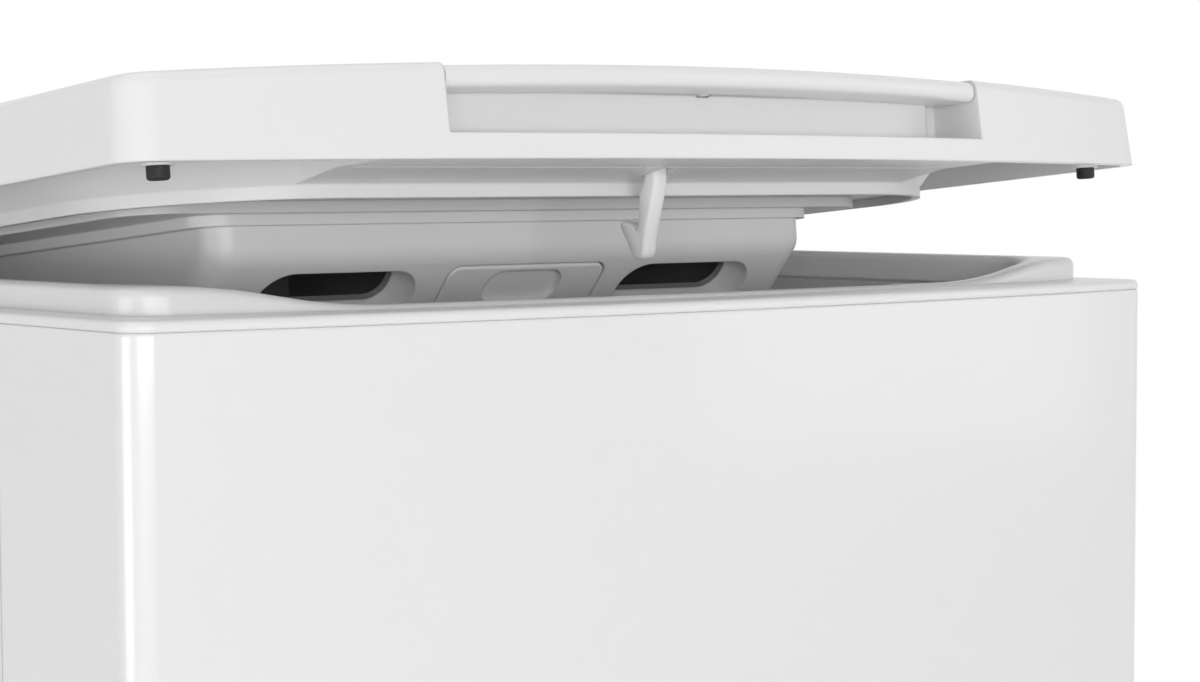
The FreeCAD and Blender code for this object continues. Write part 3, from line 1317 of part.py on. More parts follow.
def programme_knob():
    """A fluted dial with a pointer groove and a raised grip bar across it."""
    y = console_mid()
    skirt = 0.35 * KNOB_HEIGHT
    base = V(KNOB_X, y, 0.5)
    dial = Part.makeCone(KNOB_RADIUS, KNOB_RADIUS - 1.5, skirt, base)
    grip = Part.makeCone(KNOB_RADIUS * 0.72, KNOB_RADIUS * 0.66, KNOB_HEIGHT - skirt, base + V(0, 0, skirt))
    top = [e for e in grip.Edges if e.BoundBox.ZMin > KNOB_HEIGHT]
    knob = dial.fuse(grip.makeFillet(2.0, top))
    for k in range(KNOB_FLUTES):
        turn = 2 * math.pi * k / KNOB_FLUTES
        side = V(math.cos(turn), math.sin(turn), 0) * (KNOB_RADIUS * 0.72 + 0.7)
        foot = V(KNOB_X, y, skirt + 0.5) + side
        knob = knob.cut(rod(1.6, foot, foot + V(0, 0, KNOB_HEIGHT)))
    groove = block((KNOB_X - 0.8, KNOB_X + 0.8), (y + KNOB_RADIUS * 0.3, y + KNOB_RADIUS * 0.6),
                   (KNOB_HEIGHT - 0.5, KNOB_HEIGHT + 5))
    knob = knob.cut(groove)
    foot = V(KNOB_X, y, -BOARD_DEPTH + SWITCH_HEIGHT + 0.4)
    knob = knob.fuse(rod(KNOB_SHAFT_RADIUS, foot, base))
    return on_console(knob.removeSplitter())


# Tub


def axis_point(x, out=0.0, angle=0.0):
    """A point at a distance from the drum's axis, the angle counted from straight up towards the front."""
    turn = math.radians(angle)
    return V(x, AXIS_Y - out * math.sin(turn), AXIS_Z + out * math.cos(turn))


def axis_rod(radius, x0, x1):
    return rod(radius, axis_point(x0), axis_point(x1))


def tub_wrapper():
    """The tub's round wall with hoops, its neck, the pads for the dampers and the sump outlet."""
    wall = axis_rod(TUB_RADIUS, -TUB_HALF, TUB_HALF)
    for x in (-TUB_HALF / 2, 0, TUB_HALF / 2):
        wall = wall.fuse(axis_rod(TUB_RADIUS + TUB_RIM, x - 3, x + 3))
    neck_z = AXIS_Z + TUB_RADIUS / 2
    wall = wall.fuse(slab(mouth_outline(-FUNNEL_WALL, neck_z), NECK_TOP_Z - neck_z))
    for x in (-DAMPER_X, DAMPER_X):
        foot = block((x - 15, x + 15), (DAMPER_Y - 15, DAMPER_Y + 15), (DAMPER_PAD_Z, DAMPER_PAD_Z + 30))
        wall = wall.fuse(foot)
    sump = V(SUMP_X, SUMP_Y, DAMPER_PAD_Z - 12)
    wall = wall.fuse(rod(SUMP_RADIUS, sump, sump + V(0, 0, 40)))
    wall = wall.cut(axis_rod(TUB_RADIUS - TUB_WALL, -TUB_HALF, TUB_HALF))
    wall = wall.cut(slab(mouth_outline(0, AXIS_Z), NECK_TOP_Z - AXIS_Z + 1))
    return wall.cut(rod(SUMP_RADIUS - 3, sump - V(0, 0, 1), sump + V(0, 0, 60))).removeSplitter()


def tub_end(side):
    """An end shield with a bearing hub, radial ribs and the lug that hangs on a spring."""
    x0 = TUB_HALF
    x1 = TUB_HALF + TUB_END
    shield = axis_rod(TUB_RADIUS + TUB_RIM, x0, x1)
    for k in range(TUB_RIBS):
        angle = 18 + 360.0 * k / TUB_RIBS
        tall = (AXIS_Z + HUB_RADIUS - 2, AXIS_Z + TUB_RADIUS)
        rib = block((x1, x1 + TUB_RIB_HEIGHT), (AXIS_Y - 2, AXIS_Y + 2), tall)
        shield = shield.fuse(about_axis(rib, angle))
    shield = shield.fuse(axis_rod(HUB_RADIUS, x1, x0 + HUB_LENGTH + TUB_END))
    lug_top = SPRING_BOTTOM_Z
    lug = block((x0, SPRING_X + SPRING_RADIUS), (AXIS_Y - 14, AXIS_Y + 14), (lug_top - 12, lug_top))
    shield = shield.fuse(lug)
    shield = shield.cut(axis_rod(BEARING_RADIUS, bearing_x(), x0 + HUB_LENGTH + TUB_END + 1))
    shield = shield.cut(axis_rod(SEAL_RADIUS, x0 - 1, bearing_x() + 1))
    if side > 0:
        for angle in (180 - HEATER_DEG, 180 + HEATER_DEG):
            near = axis_point(x0 - 1, heater_out(), angle)
            shield = shield.cut(rod(HEATER_RADIUS + FIT, near, axis_point(x1 + 1, heater_out(), angle)))
        return shield.removeSplitter()
    return shield.removeSplitter().mirror(V(0, 0, 0), V(1, 0, 0))


def bearing_x():
    return TUB_HALF + TUB_END + HUB_LENGTH - BEARING_WIDTH


def drum_bearings():
    rings = []
    for side in (-1, 1):
        start = axis_point(side * bearing_x())
        end = axis_point(side * (bearing_x() + BEARING_WIDTH))
        rings.append(tube(BEARING_RADIUS, AXLE_RADIUS + HINGE_RUNNING, start, end))
    return Part.makeCompound(rings)


def shaft_seals():
    rings = []
    for side in (-1, 1):
        start = axis_point(side * TUB_HALF)
        end = axis_point(side * (bearing_x() - FIT))
        rings.append(tube(SEAL_RADIUS, AXLE_RADIUS + FIT, start, end))
    return Part.makeCompound(rings)


def heater_out():
    return (DRUM_RADIUS + TUB_RADIUS - TUB_WALL) / 2


def heater():
    """A bent heating rod in the gap under the drum, with its flange outside the right end."""
    out = heater_out()
    x_far = -0.6 * TUB_HALF
    x_end = TUB_HALF + TUB_END + 18
    front = 180 - HEATER_DEG
    rear = 180 + HEATER_DEG
    points = [axis_point(x_end, out, front), axis_point(x_far, out, front),
              axis_point(x_far, out, rear), axis_point(x_end, out, rear)]
    loop = pipe(points, 12.0, HEATER_RADIUS)
    x1 = TUB_HALF + TUB_END
    low = axis_point(0, out, front)
    high = axis_point(0, out, rear)
    flange = block((x1, x1 + 3), (min(low.y, high.y) - 8, max(low.y, high.y) + 8), (low.z - 9, low.z + 9))
    return loop.fuse(round_edges(flange, 6.0, lambda e: along_x(e))).removeSplitter()


def counterweights():
    """Two cast blocks that hug the tub, low at the front and at the back."""
    blocks = []
    inner = TUB_RADIUS + TUB_RIM + FIT
    outer = inner + WEIGHT_THICKNESS
    half = WEIGHT_LENGTH / 2
    ring = tube(outer, inner, axis_point(-half), axis_point(half))
    for angle in WEIGHT_ANGLES:
        sector = wedge(angle - WEIGHT_SPAN_DEG / 2, angle + WEIGHT_SPAN_DEG / 2, half + 1)
        blocks.append(ring.common(sector))
    return Part.makeCompound(blocks)


def wedge(start, end, half_length):
    """Everything between two angles round the drum's axis, as far as the cabinet goes."""
    far = 2 * WIDTH
    first = axis_point(0, far, start)
    last = axis_point(0, far, end)
    return side_profile([(AXIS_Y, AXIS_Z), (first.y, first.z), (last.y, last.z)], half_length)


# Drum, its doors and its drive


def drum_end(side):
    """An end plate with a stiffening dish, a hub and the axle."""
    x0 = DRUM_HALF - DRUM_END
    plate = axis_rod(DRUM_RADIUS - DRUM_SHEET, x0, DRUM_HALF)
    wide = 0.78 * DRUM_RADIUS
    narrow = 0.7 * DRUM_RADIUS
    dish = Part.makeCone(wide, narrow, SPIDER_THICKNESS / 2, axis_point(DRUM_HALF), V(1, 0, 0))
    plate = plate.fuse(dish)
    hollow = Part.makeCone(wide - 2 * DRUM_END, narrow - 2 * DRUM_END, SPIDER_THICKNESS / 2,
                           axis_point(x0 - 0.001), V(1, 0, 0))
    plate = plate.cut(hollow)
    plate = plate.fuse(axis_rod(SPIDER_RADIUS, x0 + SPIDER_THICKNESS / 2, DRUM_HALF + SPIDER_THICKNESS))
    reach = bearing_x() + BEARING_WIDTH if side > 0 else -PULLEY_FACE_X
    plate = plate.fuse(axis_rod(AXLE_RADIUS, DRUM_HALF, reach))
    plate = plate.removeSplitter()
    return plate if side > 0 else plate.mirror(V(0, 0, 0), V(1, 0, 0))


def door_hinge_deg():
    """Angle between the middle of the door opening and each hinge line."""
    return DOOR_HALF_DEG - math.degrees((DOOR_ROLL_RADIUS + 0.8) / DRUM_RADIUS)


def door_axis(x, angle):
    return axis_point(x, DRUM_RADIUS - DOOR_ROLL_RADIUS, angle)


def drum_shell():
    """The drum's wall with its door opening and four ears for the door pins."""
    wall = tube(DRUM_RADIUS, DRUM_RADIUS - DRUM_SHEET, axis_point(-DRUM_HALF), axis_point(DRUM_HALF))
    wall = wall.cut(wedge(-DOOR_HALF_DEG, DOOR_HALF_DEG, DOOR_WIDTH / 2))
    inside = axis_rod(DRUM_RADIUS, -DRUM_HALF, DRUM_HALF)
    near = DOOR_WIDTH / 2 + 0.2
    for angle in (-door_hinge_deg(), door_hinge_deg()):
        for side in (-1, 1):
            start = door_axis(side * near, angle)
            ear = rod(DOOR_ROLL_RADIUS + 2, start, door_axis(side * (near + 8), angle))
            wall = wall.fuse(ear.common(inside))
        wall = wall.cut(rod(DOOR_PIN_RADIUS, door_axis(-near - 9, angle), door_axis(near + 9, angle)))
    return about_axis(wall.removeSplitter(), DOOR_LEAN_DEG)


def drum_door_pins():
    reach = DOOR_WIDTH / 2 + 8.2
    pins = [rod(DOOR_PIN_RADIUS, door_axis(-reach, angle), door_axis(reach, angle))
            for angle in (-door_hinge_deg(), door_hinge_deg())]
    return about_axis(Part.makeCompound(pins), DOOR_LEAN_DEG)


def drum_door(side):
    """One curved half door with a rolled hinge edge and a stiffening lip along its free edge."""
    half = DOOR_WIDTH / 2 - 0.6
    hinge = door_hinge_deg()
    gap = math.degrees(0.6 / DRUM_RADIUS)
    start, end = (gap, hinge) if side > 0 else (-hinge, -gap)
    leaf = tube(DRUM_RADIUS, DRUM_RADIUS - DOOR_SHEET, axis_point(-half), axis_point(half))
    lip = tube(DRUM_RADIUS, DRUM_RADIUS - 7, axis_point(-half), axis_point(half))
    edge = math.degrees(2.0 / DRUM_RADIUS)
    lip_start, lip_end = (gap, gap + edge) if side > 0 else (-gap - edge, -gap)
    door = leaf.common(wedge(start, end, half)).fuse(lip.common(wedge(lip_start, lip_end, half)))
    roll = side * hinge
    door = door.fuse(rod(DOOR_ROLL_RADIUS, door_axis(-half, roll), door_axis(half, roll)))
    bore = DOOR_PIN_RADIUS + DOOR_PIN_RUNNING
    door = door.cut(rod(bore, door_axis(-half - 1, roll), door_axis(half + 1, roll)))
    return about_axis(door.removeSplitter(), DOOR_LEAN_DEG)


def drum_paddles():
    """Three lifters inside the drum, clear of the doors."""
    half = DRUM_HALF - DRUM_END - 1
    inside = axis_rod(DRUM_RADIUS - DRUM_SHEET, -half, half)
    top = AXIS_Z - DRUM_RADIUS + PADDLE_HEIGHT
    low = AXIS_Z - DRUM_RADIUS - 5
    rib = side_profile([(AXIS_Y - PADDLE_BASE / 2, low), (AXIS_Y + PADDLE_BASE / 2, low),
                        (AXIS_Y + 9, top), (AXIS_Y - 9, top)], half)
    rib = round_edges(rib, 7.0, lambda e: along_x(e) and e.CenterOfMass.z > top - 1)
    rib = rib.common(inside)
    return Part.makeCompound([about_axis(rib, DOOR_LEAN_DEG + turn) for turn in (-90, 0, 90)])


def drum_pulley():
    x0 = PULLEY_FACE_X
    x1 = PULLEY_FACE_X + PULLEY_WIDTH
    wheel = axis_rod(PULLEY_RADIUS, x0, x1)
    dish = tube(PULLEY_RADIUS - 10, 30.0, axis_point(x0 - 1), axis_point(x0 + 4))
    wheel = wheel.cut(dish).cut(tube(PULLEY_RADIUS - 10, 30.0, axis_point(x1 - 4), axis_point(x1 + 1)))
    for k in range(5):
        hole_out = 0.5 * (PULLEY_RADIUS + 20)
        start = axis_point(x0 - 1, hole_out, 72 * k)
        hole = rod(0.21 * PULLEY_RADIUS, start, axis_point(x1 + 1, hole_out, 72 * k))
        wheel = wheel.cut(hole)
    return wheel.cut(axis_rod(AXLE_RADIUS, x0 - 1, x1 + 1)).removeSplitter()


def motor_point(x):
    return V(x, MOTOR_Y, MOTOR_Z)


def belt_loop(grow, x, width):
    """The area inside a belt round both pulleys."""
    big = PULLEY_RADIUS + BELT_CLEARANCE + grow
    small = MOTOR_PULLEY_RADIUS + BELT_CLEARANCE + grow
    away = motor_point(x) - axis_point(x)
    heading = math.atan2(away.z, away.y)
    spread = math.acos((big - small) / away.Length)

    def on(centre, radius, angle):
        return centre + V(0, math.cos(angle), math.sin(angle)) * radius

    top = heading + spread
    low = heading - spread
    a = on(axis_point(x), big, top)
    b = on(axis_point(x), big, heading + math.pi)
    c = on(axis_point(x), big, low)
    d = on(motor_point(x), small, low)
    e = on(motor_point(x), small, heading)
    f = on(motor_point(x), small, top)
    edges = [Part.Arc(a, b, c).toShape(), Part.LineSegment(c, d).toShape(),
             Part.Arc(d, e, f).toShape(), Part.LineSegment(f, a).toShape()]
    return Part.Face(Part.Wire(edges)).extrude(V(width, 0, 0))


def drive_belt():
    x = PULLEY_FACE_X + 2
    width = PULLEY_WIDTH - 4
    return belt_loop(BELT_THICKNESS, x, width).cut(belt_loop(0, x, width))


def motor_front_x():
    return PULLEY_FACE_X + PULLEY_WIDTH + 38


def motor_pulley():
    x0 = PULLEY_FACE_X
    x1 = PULLEY_FACE_X + PULLEY_WIDTH
    wheel = rod(MOTOR_PULLEY_RADIUS, motor_point(x0), motor_point(x1))
    for x in (x0, x1 - 1.4):
        wheel = wheel.fuse(rod(MOTOR_PULLEY_RADIUS + 4, motor_point(x), motor_point(x + 1.4)))
    shaft = rod(MOTOR_SHAFT_RADIUS, motor_point(x1), motor_point(motor_front_x() + 30))
    return wheel.fuse(shaft).removeSplitter()


def motor_body():
    """A finned motor with two lugs up to the tub."""
    x0 = motor_front_x()
    x1 = x0 + MOTOR_LENGTH
    body = rod(MOTOR_RADIUS, motor_point(x0), motor_point(x1))
    body = body.fuse(rod(0.5 * MOTOR_RADIUS, motor_point(x0 - 8), motor_point(x0)))
    for k in range(5):
        x = x0 + 22 + 14 * k
        body = body.cut(tube(MOTOR_RADIUS + 1, MOTOR_RADIUS - 3, motor_point(x), motor_point(x + 6)))
    for x in (x0 + 14, x1 - 30):
        lug = block((x, x + 16), (MOTOR_Y - 34, MOTOR_Y + 34), (MOTOR_Z, AXIS_Z - 0.6 * TUB_RADIUS))
        body = body.fuse(lug)
    body = body.cut(axis_rod(TUB_RADIUS + FIT, -WIDTH, WIDTH))
    bore = rod(MOTOR_SHAFT_RADIUS + HINGE_RUNNING, motor_point(x0 - 9), motor_point(x0 + 31))
    return body.cut(bore).removeSplitter()


# Suspension


def suspension_springs():
    """Two coil springs between the rails and the tub's lugs."""
    springs = []
    low = SPRING_BOTTOM_Z + SPRING_WIRE / 2
    height = SPRING_TOP_Z - SPRING_BOTTOM_Z - SPRING_WIRE
    radius = SPRING_RADIUS - SPRING_WIRE / 2
    coil = Part.makeHelix(height / SPRING_TURNS, height, radius)
    h = SPRING_WIRE / 2
    corners = [V(radius - h, 0, -h), V(radius + h, 0, -h), V(radius + h, 0, h), V(radius - h, 0, h)]
    section = Part.makePolygon(corners + corners[:1])
    wire = Part.Wire(coil).makePipeShell([section], True, True)
    for side in (-1, 1):
        spring = wire.copy()
        spring.translate(V(side * SPRING_X, AXIS_Y, low))
        springs.append(spring)
    return Part.makeCompound(springs)


def damper_bodies():
    bodies = []
    floor = FOOT_HEIGHT + BASE_WALL
    for x in (-DAMPER_X, DAMPER_X):
        body = rod(DAMPER_RADIUS, V(x, DAMPER_Y, floor), V(x, DAMPER_Y, DAMPER_TOP_Z))
        rim = rod(DAMPER_RADIUS + 2, V(x, DAMPER_Y, DAMPER_TOP_Z - 10), V(x, DAMPER_Y, DAMPER_TOP_Z))
        start = V(x, DAMPER_Y, floor + 30)
        bore = rod(DAMPER_ROD_RADIUS + HINGE_RUNNING, start, V(x, DAMPER_Y, DAMPER_TOP_Z + 1))
        bodies.append(body.fuse(rim).cut(bore).removeSplitter())
    return Part.makeCompound(bodies)


def damper_rods():
    rods = []
    for x in (-DAMPER_X, DAMPER_X):
        low = FOOT_HEIGHT + BASE_WALL + 30 + 4 * TUB_BOUNCE
        bar = rod(DAMPER_ROD_RADIUS, V(x, DAMPER_Y, low), V(x, DAMPER_Y, DAMPER_PAD_Z))
        foot = rod(DAMPER_RADIUS - 2, V(x, DAMPER_Y, DAMPER_PAD_Z - 6), V(x, DAMPER_Y, DAMPER_PAD_Z))
        rods.append(bar.fuse(foot).removeSplitter())
    return Part.makeCompound(rods)


def mouth_gasket():
    """The rubber bellows from the frame's collar to the tub's neck, with one fold."""
    grip = 10.0
    low = NECK_TOP_Z - grip
    high = COLLAR_Z + grip
    middle = (NECK_TOP_Z + COLLAR_Z) / 2
    inner = FUNNEL_WALL + FIT
    sleeve = slab(mouth_outline(-inner - 2.4, low), high - low)
    sleeve = sleeve.fuse(slab(mouth_outline(-inner - 10, middle - 5), 10))
    sleeve = sleeve.cut(slab(mouth_outline(-inner, low), high - low))
    return sleeve.cut(slab(mouth_outline(-inner - 7.6, middle - 2.6), 5.2))


# Water and electrics


def pump_front_y():
    return FRONT_Y + 15.0


def drain_pump():
    """The pump with its filter housing towards the front and its two spigots."""
    y0 = pump_front_y()
    y1 = y0 + PUMP_LENGTH
    body = rod(PUMP_RADIUS, V(PUMP_X, y0, PUMP_Z), V(PUMP_X, y1, PUMP_Z))
    motor = rod(0.75 * PUMP_RADIUS, V(PUMP_X, y1, PUMP_Z), V(PUMP_X, y1 + 46, PUMP_Z))
    body = body.fuse(motor)
    floor = FOOT_HEIGHT + BASE_WALL
    body = body.fuse(block((PUMP_X - 20, PUMP_X + 20), (y0 + 12, y1 - 12), (floor, PUMP_Z)))
    inlet = V(PUMP_X, sump_run_y(), PUMP_Z)
    body = body.fuse(rod(SUMP_RADIUS, inlet, inlet + V(0, 0, PUMP_RADIUS + 18)))
    outlet = V(PUMP_X, sump_run_y(), DRAIN_RUN_Z)
    body = body.fuse(rod(DRAIN_RADIUS - 2 - FIT, outlet, outlet + V(PUMP_RADIUS + 16, 0, 0)))
    start = V(PUMP_X, y0 - 1, PUMP_Z)
    body = body.cut(rod(FILTER_CAP_RADIUS - 6 + HINGE_RUNNING, start, V(PUMP_X, y0 + 60, PUMP_Z)))
    return body.removeSplitter()


def sump_run_y():
    return pump_front_y() + 0.75 * PUMP_LENGTH


def filter_cap():
    """The twist-out filter plug, with a bar to turn it by."""
    y0 = pump_front_y()
    disc = rod(FILTER_CAP_RADIUS, V(PUMP_X, y0 - 7, PUMP_Z), V(PUMP_X, y0 - FIT, PUMP_Z))
    bar = block((PUMP_X - 20, PUMP_X + 20), (y0 - 14, y0 - 7), (PUMP_Z - 4, PUMP_Z + 4))
    plug = rod(FILTER_CAP_RADIUS - 6, V(PUMP_X, y0 - FIT, PUMP_Z), V(PUMP_X, y0 + 40, PUMP_Z))
    bar = round_edges(bar, 2.0, lambda e: abs(e.BoundBox.YLength) > 6)
    return disc.fuse(bar).fuse(plug).removeSplitter()


def sump_hose():
    top = DAMPER_PAD_Z - 2
    cross = (DAMPER_PAD_Z + PUMP_Z + PUMP_RADIUS) / 2
    points = [V(SUMP_X, SUMP_Y, top), V(SUMP_X, SUMP_Y, cross), V(PUMP_X, sump_run_y(), cross),
              V(PUMP_X, sump_run_y(), PUMP_Z + PUMP_RADIUS + 2)]
    return pipe(points, 30.0, SUMP_RADIUS + FIT + 2.4).cut(pipe(points, 30.0, SUMP_RADIUS + FIT))


def drain_hose():
    """From the pump along the right side, up the back and out through the rear panel."""
    y_back = BACK_Y - 35
    start = PUMP_X + PUMP_RADIUS + 4
    points = [V(start, sump_run_y(), DRAIN_RUN_Z), V(DRAIN_X, sump_run_y(), DRAIN_RUN_Z),
              V(DRAIN_X, y_back, DRAIN_RUN_Z), V(DRAIN_X, y_back, DRAIN_Z),
              V(DRAIN_OUT_X, y_back, DRAIN_Z), V(DRAIN_OUT_X, BACK_Y + SPIGOT_REACH, DRAIN_Z)]
    return pipe(points, 16.0, DRAIN_RADIUS).cut(pipe(points, 16.0, DRAIN_RADIUS - 2))


def inlet_valve():
    """The solenoid valve, its threaded spigot through the rear panel and its hose nipple."""
    inside = BACK_Y - SHEET
    body = block((INLET_X - 20, INLET_X + 20), (inside - 44, inside - 3), (INLET_Z - 20, INLET_Z + 20))
    body = round_edges(body, 4.0, lambda e: True)
    body = body.fuse(rod(INLET_RADIUS + 8, V(INLET_X, inside - 6, INLET_Z), V(INLET_X, inside, INLET_Z)))
    spout = V(INLET_X, BACK_Y + SPIGOT_REACH, INLET_Z)
    body = body.fuse(rod(INLET_RADIUS, V(INLET_X, inside, INLET_Z), spout))
    tail = V(INLET_X, inside - 60, INLET_Z)
    body = body.fuse(rod(HOSE_RADIUS - 2 - FIT, tail, V(INLET_X, inside - 40, INLET_Z)))
    coil = rod(12.0, V(INLET_X - 34, inside - 24, INLET_Z), V(INLET_X - 18, inside - 24, INLET_Z))
    body = body.fuse(coil)
    bore = rod(INLET_RADIUS - 4, V(INLET_X, inside - 10, INLET_Z), spout + V(0, 1, 0))
    return body.cut(bore).removeSplitter()


def spray_end():
    return V(0, MOUTH_BACK_Y + 16, SEAM_Z - 0.55 * FUNNEL_DROP)


def inlet_hose():
    """From the valve to the spray opening in the back of the funnel."""
    start = V(INLET_X, BACK_Y - SHEET - 46, INLET_Z)
    y = 0.5 * (start.y + spray_end().y) + 20
    points = [start, V(INLET_X, y, INLET_Z), V(0, y, spray_end().z), spray_end()]
    return pipe(points, 22.0, HOSE_RADIUS).cut(pipe(points, 22.0, HOSE_RADIUS - 2))


def cable_gland():
    inside = BACK_Y - SHEET
    place = V(GLAND_X, inside, INLET_Z)
    gland = rod(GLAND_RADIUS + 5, place - V(0, 5, 0), place)
    gland = gland.fuse(rod(GLAND_RADIUS, place, place + V(0, 10, 0)))
    return gland.cut(rod(4.0, place - V(0, 6, 0), place + V(0, 11, 0))).removeSplitter()


# The whole machine


def cabinet_nodes():
    return {
        "base_pan": base_pan(),
        "levelling_feet": levelling_feet(),
        "kick_plate": kick_plate(),
        "filter_door": filter_door(),
        "front_panel": front_panel(),
        "left_side_panel": side_panel(-1),
        "right_side_panel": side_panel(1),
        "rear_panel": rear_panel(),
        "suspension_rails": suspension_rails(),
        "top_frame": top_frame(),
        "hinge_pins": hinge_pins(),
        "lid_lock": lid_lock(),
        "lock_bolt": lock_bolt(),
        "drain_pump": drain_pump(),
        "filter_cap": filter_cap(),
        "sump_hose": sump_hose(),
        "drain_hose": drain_hose(),
        "inlet_valve": inlet_valve(),
        "inlet_hose": inlet_hose(),
        "cable_gland": cable_gland(),
    }


def console_nodes():
    nodes = {
        "console_housing": console_housing(),
        "control_fascia": control_fascia(),
        "display_window": display_window(),
        "control_board": control_board(),
        "programme_knob": programme_knob(),
        "start_button": start_button(),
    }
    for index in range(3):
        nodes["option_button_%d" % (index + 1)] = option_button(index)
    return nodes


def lid_nodes():
    """The lid's pieces are drawn closed and then opened to the photographed gap."""
    closed = {
        "lid_shell": lid_shell(),
        "lid_liner": lid_liner(),
        "lid_bumpers": lid_bumpers(),
        "handle_grip": handle_grip(),
        "latch_pin": latch_pin(),
        "latch_hook": latch_hook(),
        "dispenser_housing": dispenser_housing(),
        "dispenser_cups": dispenser_cups(),
        "dispenser_release": dispenser_release(),
    }
    return {name: turned_about_hinge(shape, LID_AJAR_DEG) for name, shape in closed.items()}


def tub_nodes():
    return {
        "tub_wrapper": tub_wrapper(),
        "tub_left_end": tub_end(-1),
        "tub_right_end": tub_end(1),
        "drum_bearings": drum_bearings(),
        "shaft_seals": shaft_seals(),
        "heater": heater(),
        "counterweights": counterweights(),
        "motor_body": motor_body(),
        "drive_belt": drive_belt(),
        "damper_rods": damper_rods(),
        "damper_bodies": damper_bodies(),
        "suspension_springs": suspension_springs(),
        "mouth_gasket": mouth_gasket(),
    }


def drum_nodes():
    return {
        "drum_shell": drum_shell(),
        "drum_left_end": drum_end(-1),
        "drum_right_end": drum_end(1),
        "drum_paddles": drum_paddles(),
        "drum_door_pins": drum_door_pins(),
        "drum_door_front": drum_door(1),
        "drum_door_rear": drum_door(-1),
        "drum_pulley": drum_pulley(),
        "motor_pulley": motor_pulley(),
    }


def main():
    os.makedirs("parts", exist_ok=True)
    for group in (cabinet_nodes, console_nodes, lid_nodes, tub_nodes, drum_nodes):
        for name, shape in group().items():
            shape.exportStep("parts/%s.step" % name)


if __name__ == "__main__":
    main()
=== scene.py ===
import json
import math

import bmesh
import bpy
from mathutils import Matrix, Vector


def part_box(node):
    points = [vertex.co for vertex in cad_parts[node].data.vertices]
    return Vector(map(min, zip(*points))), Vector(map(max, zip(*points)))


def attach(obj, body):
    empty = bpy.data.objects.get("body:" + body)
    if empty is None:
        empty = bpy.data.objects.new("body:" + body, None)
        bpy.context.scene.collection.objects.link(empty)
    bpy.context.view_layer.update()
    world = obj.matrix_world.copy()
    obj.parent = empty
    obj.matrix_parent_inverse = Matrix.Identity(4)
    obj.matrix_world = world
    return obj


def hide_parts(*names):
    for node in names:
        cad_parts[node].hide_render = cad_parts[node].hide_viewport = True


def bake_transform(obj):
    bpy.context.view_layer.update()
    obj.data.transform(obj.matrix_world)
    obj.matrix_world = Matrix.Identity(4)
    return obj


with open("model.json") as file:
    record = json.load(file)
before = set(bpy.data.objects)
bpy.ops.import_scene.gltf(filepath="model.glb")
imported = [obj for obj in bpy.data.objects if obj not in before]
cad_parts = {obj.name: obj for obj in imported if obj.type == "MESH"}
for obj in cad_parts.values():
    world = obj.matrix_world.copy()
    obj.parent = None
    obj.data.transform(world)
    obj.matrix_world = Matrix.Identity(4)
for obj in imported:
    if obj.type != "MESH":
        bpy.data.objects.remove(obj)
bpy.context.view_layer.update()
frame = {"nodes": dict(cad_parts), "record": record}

NODES = frame["nodes"]
scene = bpy.context.scene
scene.view_settings.view_transform = "Standard"


# Camera, at the photograph's place and angle
IMAGE_WIDTH = 1200
CAMERA_PLACE = Vector((-0.522, -0.851, 0.8868))
CAMERA_YAW = math.radians(40)
CAMERA_PITCH = math.radians(3.47)
CAMERA_ROLL = math.radians(-0.184)
FOCAL_PIXELS = 2586.7
SENSOR = 36.0


def make_camera():
    forward = Vector((
        math.sin(CAMERA_YAW) * math.cos(CAMERA_PITCH),
        math.cos(CAMERA_YAW) * math.cos(CAMERA_PITCH),
        -math.sin(CAMERA_PITCH),
    ))
    level = Vector((math.cos(CAMERA_YAW), -math.sin(CAMERA_YAW), 0))
    above = level.cross(forward)
    right = math.cos(CAMERA_ROLL) * level + math.sin(CAMERA_ROLL) * above
    up = -math.sin(CAMERA_ROLL) * level + math.cos(CAMERA_ROLL) * above
    data = bpy.data.cameras.new("camera")
    data.sensor_fit = "HORIZONTAL"
    data.sensor_width = SENSOR
    data.lens = SENSOR * FOCAL_PIXELS / IMAGE_WIDTH
    data.clip_start = 0.02
    camera = bpy.data.objects.new("camera", data)
    scene.collection.objects.link(camera)
    turn = Matrix((right, up, -forward)).transposed().to_4x4()
    camera.matrix_world = Matrix.Translation(CAMERA_PLACE) @ turn
    scene.camera = camera


make_camera()


# Studio: white surroundings for the camera, softer light on the object
AMBIENT = 0.40
FLOOR_RADIUS = 9.0
FLOOR_GREY = 0.86
FLOOR_NEAR = 0.55  # from here outwards the floor fades into the white surroundings
FLOOR_FAR = 1.9


def seen_directly(tree):
    """One where a camera, glossy or transmission ray arrives, otherwise zero."""
    path = tree.nodes.new("ShaderNodeLightPath")
    first = tree.nodes.new("ShaderNodeMath")
    first.operation = "MAXIMUM"
    tree.links.new(path.outputs["Is Camera Ray"], first.inputs[0])
    tree.links.new(path.outputs["Is Glossy Ray"], first.inputs[1])
    second = tree.nodes.new("ShaderNodeMath")
    second.operation = "MAXIMUM"
    tree.links.new(first.outputs[0], second.inputs[0])
    tree.links.new(path.outputs["Is Transmission Ray"], second.inputs[1])
    return second.outputs[0]


def make_world():
    world = bpy.data.worlds.new("studio")
    scene.world = world
    world.use_nodes = True
    tree = world.node_tree
    tree.nodes.clear()
    light = tree.nodes.new("ShaderNodeBackground")
    light.inputs["Color"].default_value = (1, 1, 1, 1)
    light.inputs["Strength"].default_value = AMBIENT
    white = tree.nodes.new("ShaderNodeBackground")
    white.inputs["Color"].default_value = (1, 1, 1, 1)
    white.inputs["Strength"].default_value = 1.0
    mix = tree.nodes.new("ShaderNodeMixShader")
    out = tree.nodes.new("ShaderNodeOutputWorld")
    tree.links.new(seen_directly(tree), mix.inputs[0])
    tree.links.new(light.outputs[0], mix.inputs[1])
    tree.links.new(white.outputs[0], mix.inputs[2])
    tree.links.new(mix.outputs[0], out.inputs["Surface"])


